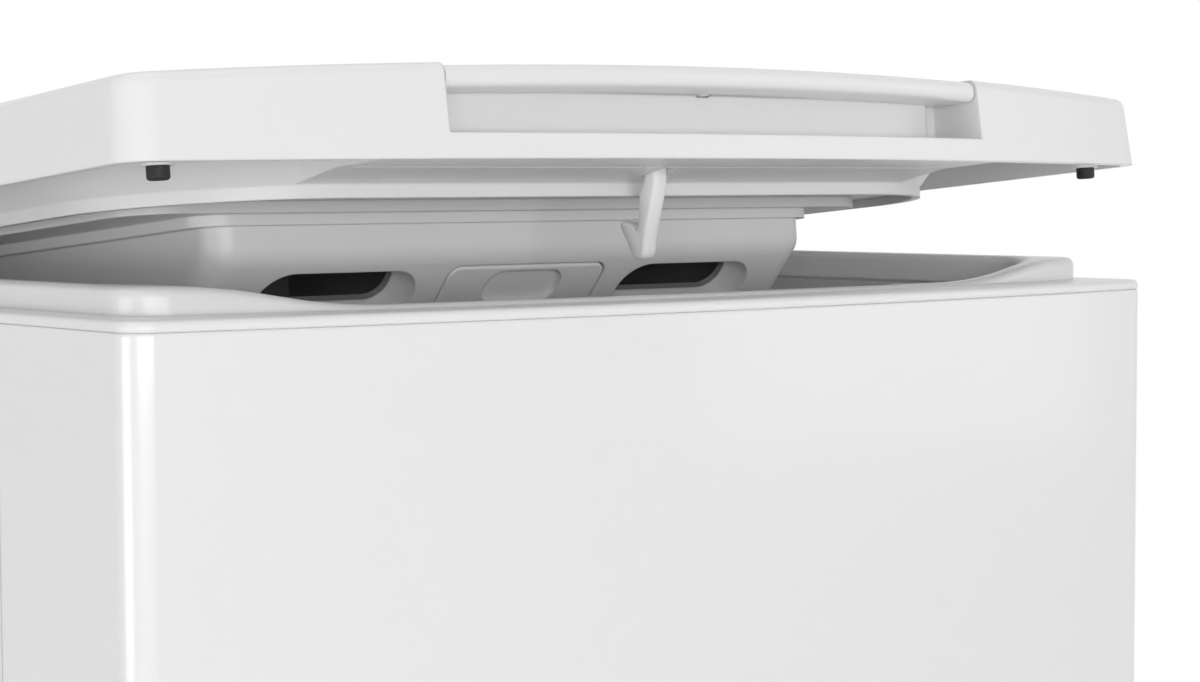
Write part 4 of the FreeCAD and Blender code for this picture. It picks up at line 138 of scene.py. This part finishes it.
def make_floor():
    mesh = bpy.data.meshes.new("floor")
    form = bmesh.new()
    bmesh.ops.create_circle(form, cap_ends=True, segments=96, radius=FLOOR_RADIUS)
    form.to_mesh(mesh)
    form.free()
    floor = bpy.data.objects.new("floor", mesh)
    scene.collection.objects.link(floor)
    material = bpy.data.materials.new("floor")
    material.use_nodes = True
    tree = material.node_tree
    tree.nodes.clear()
    ground = tree.nodes.new("ShaderNodeBsdfDiffuse")
    ground.inputs["Color"].default_value = (FLOOR_GREY, FLOOR_GREY, FLOOR_GREY, 1)
    glow = tree.nodes.new("ShaderNodeEmission")
    glow.inputs["Color"].default_value = (1, 1, 1, 1)
    glow.inputs["Strength"].default_value = 1.0
    place = tree.nodes.new("ShaderNodeTexCoord")
    reach = tree.nodes.new("ShaderNodeVectorMath")
    reach.operation = "LENGTH"
    tree.links.new(place.outputs["Object"], reach.inputs[0])
    fade = tree.nodes.new("ShaderNodeMapRange")
    fade.interpolation_type = "SMOOTHSTEP"
    fade.inputs["From Min"].default_value = FLOOR_NEAR
    fade.inputs["From Max"].default_value = FLOOR_FAR
    tree.links.new(reach.outputs["Value"], fade.inputs["Value"])
    both = tree.nodes.new("ShaderNodeMath")
    both.operation = "MULTIPLY"
    tree.links.new(fade.outputs[0], both.inputs[0])
    tree.links.new(seen_directly(tree), both.inputs[1])
    mix = tree.nodes.new("ShaderNodeMixShader")
    out = tree.nodes.new("ShaderNodeOutputMaterial")
    tree.links.new(both.outputs[0], mix.inputs[0])
    tree.links.new(ground.outputs[0], mix.inputs[1])
    tree.links.new(glow.outputs[0], mix.inputs[2])
    tree.links.new(mix.outputs[0], out.inputs["Surface"])
    mesh.materials.append(material)


# Name, place, aim, width, height, watts, and whether shiny surfaces mirror it. The side and back lamps
# stand below the lid's top, which would mirror them and clip to white.
LAMPS = (
    ("front", (-1.0, -2.5, 0.95), (0, -0.2, 0.87), 2.4, 0.6, 26, True),
    ("fill", (2.3, -2.0, 1.2), (0, 0, 0.6), 1.4, 1.4, 6, True),
    ("side", (-2.9, -0.2, 0.5), (0, 0, 0.7), 1.6, 0.7, 14.5, True),
    ("low", (-0.7, -1.7, 0.12), (0, -0.25, 0.87), 2.2, 0.4, 1.5, True),
    ("top", (-0.2, -0.2, 3.0), (0, 0, 0), 2.4, 2.4, 16, True),
    ("back", (1.2, 2.6, 0.5), (0, 0, 0.5), 1.8, 0.7, 16, True),
    ("right", (2.6, 1.4, 1.2), (0, 0, 0.75), 1.6, 1.4, 18, False),
)


def softbox(name, place, target, width, height, power, mirrored):
    data = bpy.data.lights.new(name, "AREA")
    data.shape = "RECTANGLE"
    data.size = width
    data.size_y = height
    data.energy = power
    lamp = bpy.data.objects.new(name, data)
    scene.collection.objects.link(lamp)
    lamp.location = place
    aim = Vector(target) - Vector(place)
    lamp.rotation_mode = "QUATERNION"
    lamp.rotation_quaternion = aim.to_track_quat("-Z", "Y")
    lamp.visible_camera = False
    lamp.visible_glossy = mirrored


make_world()
make_floor()
for lamp_row in LAMPS:
    softbox(*lamp_row)


# Materials
class Finish:
    """A procedural material: one shader with noise in object space, in metres."""

    def __init__(self, name, colour, rough, metallic=0.0, coat=0.0, coat_rough=0.05, ior=1.5):
        self.material = bpy.data.materials.new(name)
        self.material.use_nodes = True
        self.tree = self.material.node_tree
        self.shader = self.tree.nodes["Principled BSDF"]
        self.shader.inputs["Base Color"].default_value = (*colour, 1)
        self.shader.inputs["Roughness"].default_value = rough
        self.shader.inputs["Metallic"].default_value = metallic
        self.shader.inputs["Coat Weight"].default_value = coat
        self.shader.inputs["Coat Roughness"].default_value = coat_rough
        self.shader.inputs["IOR"].default_value = ior
        self.colour = colour
        self.rough = rough
        self.place = self.tree.nodes.new("ShaderNodeTexCoord").outputs["Object"]

    def stretched(self, scale):
        mapping = self.tree.nodes.new("ShaderNodeMapping")
        mapping.inputs["Scale"].default_value = scale
        self.tree.links.new(self.place, mapping.inputs["Vector"])
        return mapping.outputs[0]

    def noise(self, scale, detail=2.0, stretch=None):
        grain = self.tree.nodes.new("ShaderNodeTexNoise")
        grain.inputs["Scale"].default_value = scale
        grain.inputs["Detail"].default_value = detail
        where = self.stretched(stretch) if stretch else self.place
        self.tree.links.new(where, grain.inputs["Vector"])
        return grain.outputs["Fac"]

    def spread(self, value, low, high):
        """A value around one half taken to a range."""
        span = self.tree.nodes.new("ShaderNodeMapRange")
        span.inputs["From Min"].default_value = 0.3
        span.inputs["From Max"].default_value = 0.7
        span.inputs["To Min"].default_value = low
        span.inputs["To Max"].default_value = high
        self.tree.links.new(value, span.inputs["Value"])
        return span.outputs[0]

    def tint(self, value, other):
        """The colour goes to another one with a value from 0 to 1."""
        mix = self.tree.nodes.new("ShaderNodeMix")
        mix.data_type = "RGBA"
        socket = self.shader.inputs["Base Color"]
        if socket.links:
            self.tree.links.new(socket.links[0].from_socket, mix.inputs["A"])
        else:
            mix.inputs["A"].default_value = (*self.colour, 1)
        mix.inputs["B"].default_value = (*other, 1)
        self.tree.links.new(value, mix.inputs["Factor"])
        self.tree.links.new(mix.outputs["Result"], socket)
        return self

    def mottled(self, scale, amount, detail=3.0, stretch=None):
        """Slow colour changes of a share of the colour."""
        darker = tuple(c * (1 - amount) for c in self.colour)
        return self.tint(self.spread(self.noise(scale, detail, stretch), 0, 1), darker)

    def patchy(self, scale, amount, detail=2.0, stretch=None):
        """Roughness that varies by an amount either way."""
        grain = self.noise(scale, detail, stretch)
        self.tree.links.new(
            self.spread(grain, max(0.02, self.rough - amount), self.rough + amount),
            self.shader.inputs["Roughness"],
        )
        return self

    def relief(self, value, depth, strength=1.0):
        """Bump of a depth in metres, over what is there already."""
        bump = self.tree.nodes.new("ShaderNodeBump")
        bump.inputs["Strength"].default_value = strength
        bump.inputs["Distance"].default_value = depth
        self.tree.links.new(value, bump.inputs["Height"])
        socket = self.shader.inputs["Normal"]
        if socket.links:
            self.tree.links.new(socket.links[0].from_socket, bump.inputs["Normal"])
        self.tree.links.new(bump.outputs[0], socket)
        return self

    def grained(self, scale, depth, detail=2.0, stretch=None):
        return self.relief(self.noise(scale, detail, stretch), depth)

    def softened(self, radius):
        """Edges that catch the light as if rounded by a radius."""
        edge = self.tree.nodes.new("ShaderNodeBevel")
        edge.samples = 6
        edge.inputs["Radius"].default_value = radius
        self.tree.links.new(edge.outputs[0], self.shader.inputs["Normal"])
        return self


WHITE = (0.80, 0.80, 0.80)
AXIS = Vector((0, -0.020, 0.480))
DRUM_RADIUS = 0.215
HOLE_PITCH = 0.0125
HOLE_RADIUS = 0.0019


def perforate(finish):
    """Punched holes in rows over the drum's sheet, each with a drawn-in edge in bump; the holes
    themselves are painted near-black, painted shade for the dark inside seen through them.
    """
    tree = finish.tree

    def math_node(operation, first, second):
        node = tree.nodes.new("ShaderNodeMath")
        node.operation = operation
        for socket, value in zip(node.inputs, (first, second)):
            if isinstance(value, (int, float)):
                socket.default_value = value
            else:
                tree.links.new(value, socket)
        return node.outputs[0]

    split = tree.nodes.new("ShaderNodeSeparateXYZ")
    tree.links.new(finish.place, split.inputs[0])
    along = math_node("DIVIDE", split.outputs["X"], HOLE_PITCH)
    side = math_node("SUBTRACT", split.outputs["Y"], AXIS.y)
    rise = math_node("SUBTRACT", split.outputs["Z"], AXIS.z)
    turn = math_node("ARCTAN2", side, rise)
    round_it = math_node("MULTIPLY", turn, DRUM_RADIUS / (HOLE_PITCH * math.sqrt(3)))
    nearest = None
    for shift in (0.0, 0.5):
        a = math_node("SUBTRACT", math_node("FRACT", math_node("ADD", along, 100 + shift), 0), 0.5)
        b = math_node("SUBTRACT", math_node("FRACT", math_node("ADD", round_it, 100 + shift), 0), 0.5)
        b = math_node("MULTIPLY", b, math.sqrt(3))
        square = math_node("ADD", math_node("MULTIPLY", a, a), math_node("MULTIPLY", b, b))
        out = math_node("POWER", square, 0.5)
        nearest = out if nearest is None else math_node("MINIMUM", nearest, out)
    hole = HOLE_RADIUS / HOLE_PITCH
    edge = tree.nodes.new("ShaderNodeMapRange")
    edge.interpolation_type = "SMOOTHSTEP"
    edge.inputs["From Min"].default_value = 0.9 * hole
    edge.inputs["From Max"].default_value = 1.1 * hole
    edge.inputs["To Min"].default_value = 1
    edge.inputs["To Max"].default_value = 0
    tree.links.new(nearest, edge.inputs["Value"])
    dish = tree.nodes.new("ShaderNodeMapRange")
    dish.interpolation_type = "SMOOTHSTEP"
    dish.inputs["From Min"].default_value = 0.9 * hole
    dish.inputs["From Max"].default_value = 1.9 * hole
    tree.links.new(nearest, dish.inputs["Value"])
    # Painted shade: the holes are coloured near-black for the shaded inside of the drum seen through
    # them, not cut.
    finish.tint(edge.outputs[0], (0.004, 0.004, 0.004))
    finish.relief(dish.outputs[0], 0.0005)


enamel = Finish("white_enamel", WHITE, 0.24, coat=0.35, coat_rough=0.08).softened(0.0008)
enamel.mottled(2.2, 0.0012).patchy(30, 0.012).grained(420, 0.000002, 1.0)
gloss = Finish("white_moulding", WHITE, 0.30, coat=0.15, coat_rough=0.12).softened(0.0010)
gloss.mottled(2.6, 0.0012).patchy(60, 0.012).grained(900, 0.0000015, 2.0)
satin = Finish("white_liner", (0.79, 0.79, 0.79), 0.38).softened(0.0008)
satin.mottled(3.0, 0.0015).patchy(80, 0.015).grained(1400, 0.0000015, 2.0)
nylon = Finish("white_nylon", (0.88, 0.88, 0.88), 0.42).softened(0.0008)
nylon.mottled(9.0, 0.015).patchy(80, 0.06).grained(1200, 0.000003, 2.0)
grey = Finish("grey_moulding", (0.42, 0.43, 0.44), 0.45).softened(0.0006)
grey.mottled(6.0, 0.05).patchy(60, 0.08).grained(900, 0.000006, 3.0)
dark = Finish("dark_moulding", (0.045, 0.046, 0.048), 0.5)
dark.mottled(12.0, 0.2).patchy(70, 0.1).grained(1100, 0.000008, 3.0)
cup = Finish("dark_cup", (0.21, 0.21, 0.215), 0.5)
cup.mottled(12.0, 0.12).patchy(70, 0.1).grained(1100, 0.000008, 3.0)
rubber = Finish("black_rubber", (0.010, 0.010, 0.010), 0.62)
rubber.mottled(20.0, 0.3).patchy(150, 0.1).grained(1800, 0.00001, 2.0)
grey_rubber = Finish("grey_rubber", (0.13, 0.13, 0.135), 0.66)
grey_rubber.mottled(15.0, 0.15).patchy(120, 0.08).grained(1500, 0.00001, 2.0)
galvanised = Finish("galvanised_sheet", (0.56, 0.57, 0.58), 0.42, metallic=1.0)
galvanised.mottled(110.0, 0.15, 1.0).patchy(130, 0.09, 1.0).grained(300, 0.000008, 2.0)
steel = Finish("stainless_steel", (0.62, 0.615, 0.605), 0.24, metallic=1.0)
steel.mottled(8.0, 0.05).patchy(25, 0.06, 4.0, (4, 60, 60)).grained(40, 0.000004, 4.0, (3, 60, 60))
drum_sheet = Finish("perforated_steel", (0.62, 0.615, 0.605), 0.26, metallic=1.0)
drum_sheet.mottled(8.0, 0.05).patchy(25, 0.06, 4.0, (4, 60, 60))
perforate(drum_sheet)
aluminium = Finish("cast_aluminium", (0.70, 0.70, 0.71), 0.44, metallic=1.0)
aluminium.mottled(20.0, 0.12).patchy(80, 0.1).grained(500, 0.00003, 4.0)
iron = Finish("cast_iron", (0.09, 0.09, 0.095), 0.72, metallic=0.4)
iron.mottled(30.0, 0.35).patchy(90, 0.12).grained(260, 0.0002, 5.0)
board = Finish("circuit_board", (0.018, 0.11, 0.05), 0.35)
board.mottled(120.0, 0.35, 1.0).patchy(200, 0.08)
smoked = Finish("smoked_window", (0.012, 0.013, 0.014), 0.08, coat=0.5, coat_rough=0.03)
smoked.mottled(30.0, 0.2).patchy(40, 0.03)
printed = Finish("grey_print", (0.16, 0.165, 0.17), 0.55)
printed.mottled(200.0, 0.12, 2.0).patchy(300, 0.08)
segment = Finish("display_segment", (0.060, 0.064, 0.066), 0.3)
segment.mottled(120.0, 0.15, 2.0).patchy(300, 0.06)
lens = Finish("lamp_lens", (0.70, 0.74, 0.72), 0.18, coat=0.3)
lens.mottled(150.0, 0.06, 2.0).patchy(200, 0.05)

SLOT_FINISH = {
    "white_steel": enamel,
    "white_plastic": gloss,
    "white_nylon": nylon,
    "grey_plastic": grey,
    "dark_plastic": dark,
    "black_rubber": rubber,
    "grey_rubber": grey_rubber,
    "grey_steel": galvanised,
    "steel": steel,
    "aluminium": aluminium,
    "cast_iron": iron,
    "board_green": board,
    "smoked": smoked,
}
NODE_FINISH = {
    "lid_liner": satin,
    "dispenser_housing": satin,
    "dispenser_release": satin,
    "dispenser_cups": cup,
    "drum_shell": drum_sheet,
    "drum_door_front": drum_sheet,
    "drum_door_rear": drum_sheet,
}

for row in frame["record"]["subparts"]:
    node = row["node"]
    finish = NODE_FINISH.get(node, SLOT_FINISH[row["material_slot"]])
    slots = NODES[node].data.materials
    slots.clear()
    slots.append(finish.material)


# Pieces, drawn in millimetres
MM = 0.001
MOUTH_HALF = 128.0
MOUTH_FRONT = -175.0
MOUTH_REAR = 55.0
MOUTH_CORNER = 40.0
MOUTH_BOW = 6.0
CONSOLE_EDGE = Vector((0, 151.0, 879.2))
CONSOLE_SLOPE = math.radians(10.154)
CONSOLE_MIDDLE = 68.07
PRINT_LOW = -0.02
PRINT_HIGH = 0.05
SEGMENT_LOW = -0.22
SEGMENT_HIGH = -0.15
KNOB_X = -125.0
DISPLAY_X = -20.0
BUTTONS_X = (58.0, 86.0, 114.0)
START_X = 155.0
LID_HINGE = (130.0, 867.9)
LID_AJAR = math.radians(4.97)


def piece(name, points, faces, finish, slot, body=None, smooth=True):
    """A mesh piece with one finish, on a body unless it bends between two."""
    form = bmesh.new()
    corners = [form.verts.new(Vector(p) * MM) for p in points]
    for face in faces:
        form.faces.new([corners[i] for i in face])
    bmesh.ops.recalc_face_normals(form, faces=form.faces)
    mesh = bpy.data.meshes.new(name)
    form.to_mesh(mesh)
    form.free()
    for polygon in mesh.polygons:
        polygon.use_smooth = smooth
    mesh.materials.append(finish.material)
    thing = bpy.data.objects.new(name, mesh)
    scene.collection.objects.link(thing)
    if body:
        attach(thing, body)
    return thing


def merged(parts):
    """Several (points, faces) as one."""
    points = []
    faces = []
    for some, their in parts:
        start = len(points)
        points.extend(some)
        faces.extend([[i + start for i in face] for face in their])
    return points, faces


def lofted(rings, closed=False):
    """Skin over rings of equally many points; the first and last are capped unless the loft closes."""
    count = len(rings[0])
    points = [p for ring in rings for p in ring]
    faces = []
    for k in range(len(rings) if closed else len(rings) - 1):
        low = k * count
        high = (k + 1) % len(rings) * count
        for i in range(count):
            j = (i + 1) % count
            faces.append([low + i, low + j, high + j, high + i])
    if not closed:
        faces.append(list(range(count)))
        faces.append([len(points) - count + i for i in range(count)])
    return points, faces


def tube(path, radius, sides=10):
    """A round bar along a path of points."""
    path = [Vector(p) for p in path]
    rings = []
    across = Vector((1, 0, 0))
    for k, place in enumerate(path):
        ahead = path[min(k + 1, len(path) - 1)] - path[max(k - 1, 0)]
        ahead.normalize()
        across = (across - across.dot(ahead) * ahead).normalized()
        other = ahead.cross(across)
        turns = [2 * math.pi * i / sides for i in range(sides)]
        rings.append([place + radius * (math.cos(t) * across + math.sin(t) * other) for t in turns])
    return lofted(rings)


def console(x, along, above):
    """A point on the console's slope: across, up the slope, and above its face."""
    rise = math.sin(CONSOLE_SLOPE)
    run = math.cos(CONSOLE_SLOPE)
    return CONSOLE_EDGE + Vector((x, along * run - above * rise, along * rise + above * run))


def plate(outline, low, high):
    """A thin plate on the console from a plan outline."""
    return lofted([[console(x, y, low) for x, y in outline], [console(x, y, high) for x, y in outline]])


def dial_scale():
    """The printed ring of ticks and numbers round the programme knob."""
    near = 27.0
    far = 30.6
    half = 0.35
    figures = 35.8
    marks = []
    for k in range(13):
        turn = math.radians(-150 + 25 * k)
        out = (math.sin(turn), math.cos(turn))
        flat = (math.cos(turn), -math.sin(turn))
        corners = []
        for r, w in ((near, -half), (near, half), (far, half), (far, -half)):
            corners.append((KNOB_X + r * out[0] + w * flat[0], CONSOLE_MIDDLE + r * out[1] + w * flat[1]))
        marks.append(plate(corners, PRINT_LOW, PRINT_HIGH))
        if k:
            centre = (KNOB_X + figures * out[0], CONSOLE_MIDDLE + figures * out[1])
            marks.append(number(str(k), centre, 5.4))
    ring = []
    for k in range(24):
        turn = 2 * math.pi * k / 24
        ring.append((KNOB_X - 17.6 + 1.3 * math.sin(turn), CONSOLE_MIDDLE - 30.5 + 1.3 * math.cos(turn)))
    marks.append(plate(ring, PRINT_LOW, PRINT_HIGH))
    piece("dial_scale", *merged(marks), printed, "dark_plastic", "cabinet", False)


def number(text, centre, size):
    """Plain numerals standing on the console's slope."""
    font = bpy.data.curves.new("numeral", "FONT")
    font.body = text
    font.size = size
    font.align_x = "CENTER"
    font.align_y = "CENTER"
    font.extrude = 0.035
    font.resolution_u = 3
    holder = bpy.data.objects.new("numeral", font)
    mesh = bpy.data.meshes.new_from_object(holder)
    points = [console(centre[0] + v.co.x, centre[1] + v.co.y, 0.015 + v.co.z) for v in mesh.vertices]
    faces = [list(p.vertices) for p in mesh.polygons]
    bpy.data.objects.remove(holder)
    bpy.data.curves.remove(font)
    bpy.data.meshes.remove(mesh)
    return points, faces


def display_digits():
    """The unlit segments of four digits and a colon behind the smoked window."""
    wide = 9.0
    tall = 18.0
    bar = 1.7
    slant = 0.09
    strokes = [((-1, 1), (1, 1)), ((-1, 0), (1, 0)), ((-1, -1), (1, -1))]
    strokes += [((x, y), (x, y + 1)) for x in (-1, 1) for y in (-1, 0)]
    marks = []
    for place in (-27.0, -13.0, 9.0, 23.0):
        for (x0, y0), (x1, y1) in strokes:
            a = Vector((x0 * wide / 2, y0 * tall / 2))
            b = Vector((x1 * wide / 2, y1 * tall / 2))
            run = (b - a).normalized()
            side = Vector((-run.y, run.x)) * bar / 2
            tip = run * bar / 2
            a = a + run * 0.25
            b = b - run * 0.25
            loop = [a, a + tip + side, b - tip + side, b, b - tip - side, a + tip - side]
            lean = [(DISPLAY_X + place + 2 + p.x + slant * p.y, CONSOLE_MIDDLE + p.y) for p in loop]
            marks.append(plate(lean, SEGMENT_LOW, SEGMENT_HIGH))
    for y in (-4.0, 4.0):
        dot = [(DISPLAY_X + slant * y + math.sin(t), CONSOLE_MIDDLE + y + math.cos(t))
               for t in [math.pi * k / 8 for k in range(16)]]
        marks.append(plate(dot, SEGMENT_LOW, SEGMENT_HIGH))
    piece("display_digits", *merged(marks), segment, "smoked", "cabinet", False)


def lamps():
    """A small domed lamp above each option button and beside the start button."""
    domes = []
    places = [(x, CONSOLE_MIDDLE + 13.0) for x in BUTTONS_X] + [(START_X, CONSOLE_MIDDLE + 18.0)]
    for x, y in places:
        rings = []
        for r, h in ((1.5, -0.05), (1.5, 0.2), (1.3, 0.5), (0.8, 0.75), (0.25, 0.85)):
            turns = [2 * math.pi * k / 24 for k in range(24)]
            rings.append([console(x + r * math.cos(t), y + r * math.sin(t), h) for t in turns])
        domes.append(lofted(rings))
    piece("console_lamps", *merged(domes), lens, "white_plastic", "cabinet")


def knob_pointer():
    """The inlaid pointer in the knob's groove."""
    outline = [(-0.65, 7.5), (0.65, 7.5), (0.65, 13.7), (0.33, 14.1), (-0.33, 14.1), (-0.65, 13.7)]
    outline = [(KNOB_X + x, CONSOLE_MIDDLE + y) for x, y in outline]
    piece("knob_pointer", *plate(outline, 19.52, 20.3), printed, "dark_plastic", "knob", False)


def screw_head(place, radius, height):
    """A pan head with a cross recess, its face to +Y."""
    sides = 48
    rings = []
    for share in (1.0, 0.99, 0.93, 0.82, 0.7, 0.6, 0.5, 0.42, 0.34, 0.27, 0.2, 0.13, 0.06):
        ring = []
        for k in range(sides):
            turn = 2 * math.pi * k / sides
            x = share * math.cos(turn)
            z = share * math.sin(turn)
            rise = 0.0 if share == 1.0 else height * (0.35 + 0.65 * math.sqrt(1 - share**4))
            if max(abs(x), abs(z)) < 0.55 and min(abs(x), abs(z)) < 0.13:
                rise -= 0.6 * height
            ring.append(Vector(place) + Vector((radius * x, rise, radius * z)))
        rings.append(ring)
    return lofted(rings)


def rear_screws():
    """The screws that hold the back sheet and the console's rear."""
    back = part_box("rear_panel")[1].y / MM
    top_row = 836.0
    places = [(x, z) for x in (-186.0, 186.0) for z in (110.0, 300.0, 480.0, 660.0, top_row)]
    places += [(x, top_row) for x in (-62.0, 62.0)]
    heads = [screw_head((x, back - 0.05, z), 4.2, 2.4) for x, z in places]
    piece("rear_screws", *merged(heads), steel, "steel", "cabinet")


def inlet_thread():
    """The pipe thread on the inlet's spigot."""
    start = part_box("rear_panel")[1].y / MM + 2.5
    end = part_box("inlet_valve")[1].y / MM - 1.2
    x = -120.0
    z = 800.0
    root = 12.9
    pitch = 1.814
    steps = int(40 * (end - start - pitch) / pitch)
    rings = []
    for k in range(steps + 1):
        turn = 2 * math.pi * k / 40
        y = start + pitch * k / 40
        crest = 13.2 + 0.75 * min(1.0, k / 20, (steps - k) / 20)
        ring = []
        for r, shift in ((root, 0.1), (crest, 0.45 * pitch), (crest, 0.6 * pitch), (root, 0.95 * pitch)):
            ring.append(Vector((x + r * math.cos(turn), y + shift, z + r * math.sin(turn))))
        rings.append(ring)
    piece("inlet_thread", *lofted(rings), nylon, "white_nylon", "cabinet", False)


def mouth_loop(grow, z):
    """The mouth's rounded outline, bowed at the front, with room added round it."""
    half = MOUTH_HALF + grow
    front = MOUTH_FRONT - grow
    rear = MOUTH_REAR + grow
    radius = MOUTH_CORNER + grow
    loop = []
    for cx, cy, first in ((half - radius, rear - radius, 0), (radius - half, rear - radius, 90),
                          (radius - half, front + radius, 180), (half - radius, front + radius, 270)):
        for k in range(13):
            turn = math.radians(first + 7.5 * k)
            loop.append([cx + radius * math.cos(turn), cy + radius * math.sin(turn)])
    dense = []
    for (x0, y0), (x1, y1) in zip(loop, loop[1:] + loop[:1]):
        parts = max(1, int(math.hypot(x1 - x0, y1 - y0) / 12))
        for k in range(parts):
            dense.append((x0 + (x1 - x0) * k / parts, y0 + (y1 - y0) * k / parts))
    bow = []
    for x, y in dense:
        share = max(0.0, min(1.0, (front + radius - y) / radius))
        bow.append(Vector((x, y + MOUTH_BOW * share * min(1.0, abs(x) / half)**2, z)))
    return bow


def mouth_bellows():
    """The folded rubber between the tub's neck and the frame's collar."""
    inside = [
        (3.6, 736), (3.6, 747), (4.4, 749.6), (7.4, 751.0), (10.2, 751.8), (11.6, 753.6),
        (11.6, 757.0), (10.2, 758.8), (7.4, 759.6), (4.4, 761.0), (3.6, 763.6), (3.6, 775),
    ]
    outside = [
        (5.8, 775), (5.8, 764.6), (6.6, 762.9), (8.6, 762.0), (11.8, 761.0), (13.4, 758.6),
        (13.4, 752.0), (11.8, 749.6), (8.6, 748.6), (6.6, 747.7), (5.8, 746.0), (5.8, 736),
    ]
    rings = [mouth_loop(grow, z) for grow, z in inside + outside]
    bellows = piece("mouth_bellows", *lofted(rings, closed=True), grey_rubber, "grey_rubber")
    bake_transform(bellows)
    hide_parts("mouth_gasket")


def springs():
    """Two coiled springs of round wire, their end turns closed."""
    turns = 8
    steps = 280
    coil_x = 178
    coil_y = -20
    coil_radius = 11.4
    wire_radius = 1.5
    bottom = 665.6
    stretch = 108.6
    closed_turn = 3.1
    coils = []
    for side in (-1, 1):
        path = []
        for k in range(steps + 1):
            share = k / steps
            turn = 2 * math.pi * turns * share
            even = max(0.0, min(1.0, (share - 0.09) / 0.82))
            first = min(1.0, share / 0.125)
            last = max(0.0, (share - 0.875) / 0.125)
            z = bottom + closed_turn * first + even * stretch + closed_turn * last
            x = side * coil_x + coil_radius * math.cos(turn)
            path.append((x, coil_y + coil_radius * math.sin(turn), z))
        coils.append(tube(path, wire_radius))
    wire = piece("spring_coils", *merged(coils), steel, "steel")
    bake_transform(wire)
    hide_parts("suspension_springs")


def belt():
    """The ribbed drive belt round the drum's pulley and the motor's."""
    big = Vector((-20.0, 480.0))
    small = Vector((62.0, 184.0))
    big_radius = 140.3
    small_radius = 9.3
    face_x = -188
    gap = small - big
    base = math.atan2(gap.y, gap.x)
    lean = math.acos((big_radius - small_radius) / gap.length)
    path = []
    for k in range(97):
        turn = base + lean + (2 * math.pi - 2 * lean) * k / 96
        path.append((big, big_radius, turn))
    for k in range(33):
        turn = base - lean + 2 * lean * k / 32
        path.append((small, small_radius, turn))
    section = [(0.15, 3.0), (7.85, 3.0)]
    for k in range(5):
        x = 7.85 - 1.54 * k
        section += [(x, 1.3), (x - 0.45, 0.02), (x - 1.09, 0.02)]
    section.append((0.15, 1.3))
    rings = []
    for centre, radius, turn in path:
        ring = []
        for x, out in section:
            ring.append(Vector((
                face_x + x,
                centre.x + (radius + out) * math.cos(turn),
                centre.y + (radius + out) * math.sin(turn),
            )))
        rings.append(ring)
    loop = piece("ribbed_belt", *lofted(rings, closed=True), rubber, "black_rubber", "tub", False)
    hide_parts("drive_belt")


def ajar(x, y, z):
    """A point of the shut lid where the lid stands at rest."""
    turned = Matrix.Rotation(-LID_AJAR, 3, "X") @ Vector((x, y - LID_HINGE[0], z - LID_HINGE[1]))
    return turned + Vector((0, LID_HINGE[0], LID_HINGE[1]))


def rounded(loop, passes):
    """A closed outline with its corners cut again and again."""
    for _ in range(passes):
        cut = []
        for a, b in zip(loop, loop[1:] + loop[:1]):
            cut += [a.lerp(b, 0.25), a.lerp(b, 0.75)]
        loop = cut
    return loop


def moulded_hook():
    """The lid's nylon hook, full and round-edged: knuckle, arm, stem and a barb that points up."""
    stem = -258.9
    low = 831.1
    slim_from = 9.0
    slim_over = 4.0
    knuckle = [(-281.1, 881.6), (-281.1, 877.3), (-276.5, 877.3), (-270.0, 877.4)]
    front = [
        (0, 877.4), (0, 866), (0, 857), (0.2, 853.2),
        (1.6, low + 18), (4.0, low + 12), (6.4, low + 5.5),
    ]
    toe = [(7.6, low - 0.3), (12.4, low - 0.6), (15.2, low + 5), (18.6, low + 11), (16.8, low + 12.2)]
    rear = [
        (13.0, low + 10.8), (9.8, low + 8.8), (9.4, low + 15), (8.6, low + 20),
        (5.5, 855.4), (5.4, 866), (5.4, 881.4),
    ]
    outline = [Vector(p) for p in knuckle]
    outline += [Vector((stem + y, z)) for y, z in front + toe + rear]
    outline += [Vector((-262.0, 881.4)), Vector((-270.0, 881.4))]
    loop = rounded(outline, 3)
    inward = []
    for before, after in zip(loop[-1:] + loop[:-1], loop[1:] + loop[:1]):
        run = (after - before).normalized()
        inward.append(Vector((-run.y, run.x)))
    section = [(-2.8, 1.3), (-2.65, 0.85), (-2.3, 0.5), (-1.75, 0.22), (-0.95, 0.05), (0, 0)]
    section += [(-x, inset) for x, inset in reversed(section[:-1])]
    rings = []
    for x, inset in section:
        ring = []
        for place, normal in zip(loop, inward):
            slim = max(0.0, min(1.0, (place.x - stem - slim_from) / slim_over))
            ring.append(place + normal * inset * (1 - 0.5 * slim))
        rings.append([ajar(x, p.x, p.y) for p in ring])
    hook = piece("moulded_hook", *lofted(rings), nylon, "white_nylon", "latch")
    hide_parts("latch_hook")


dial_scale()
display_digits()
lamps()
knob_pointer()
rear_screws()
inlet_thread()
mouth_bellows()
springs()
belt()
moulded_hook()
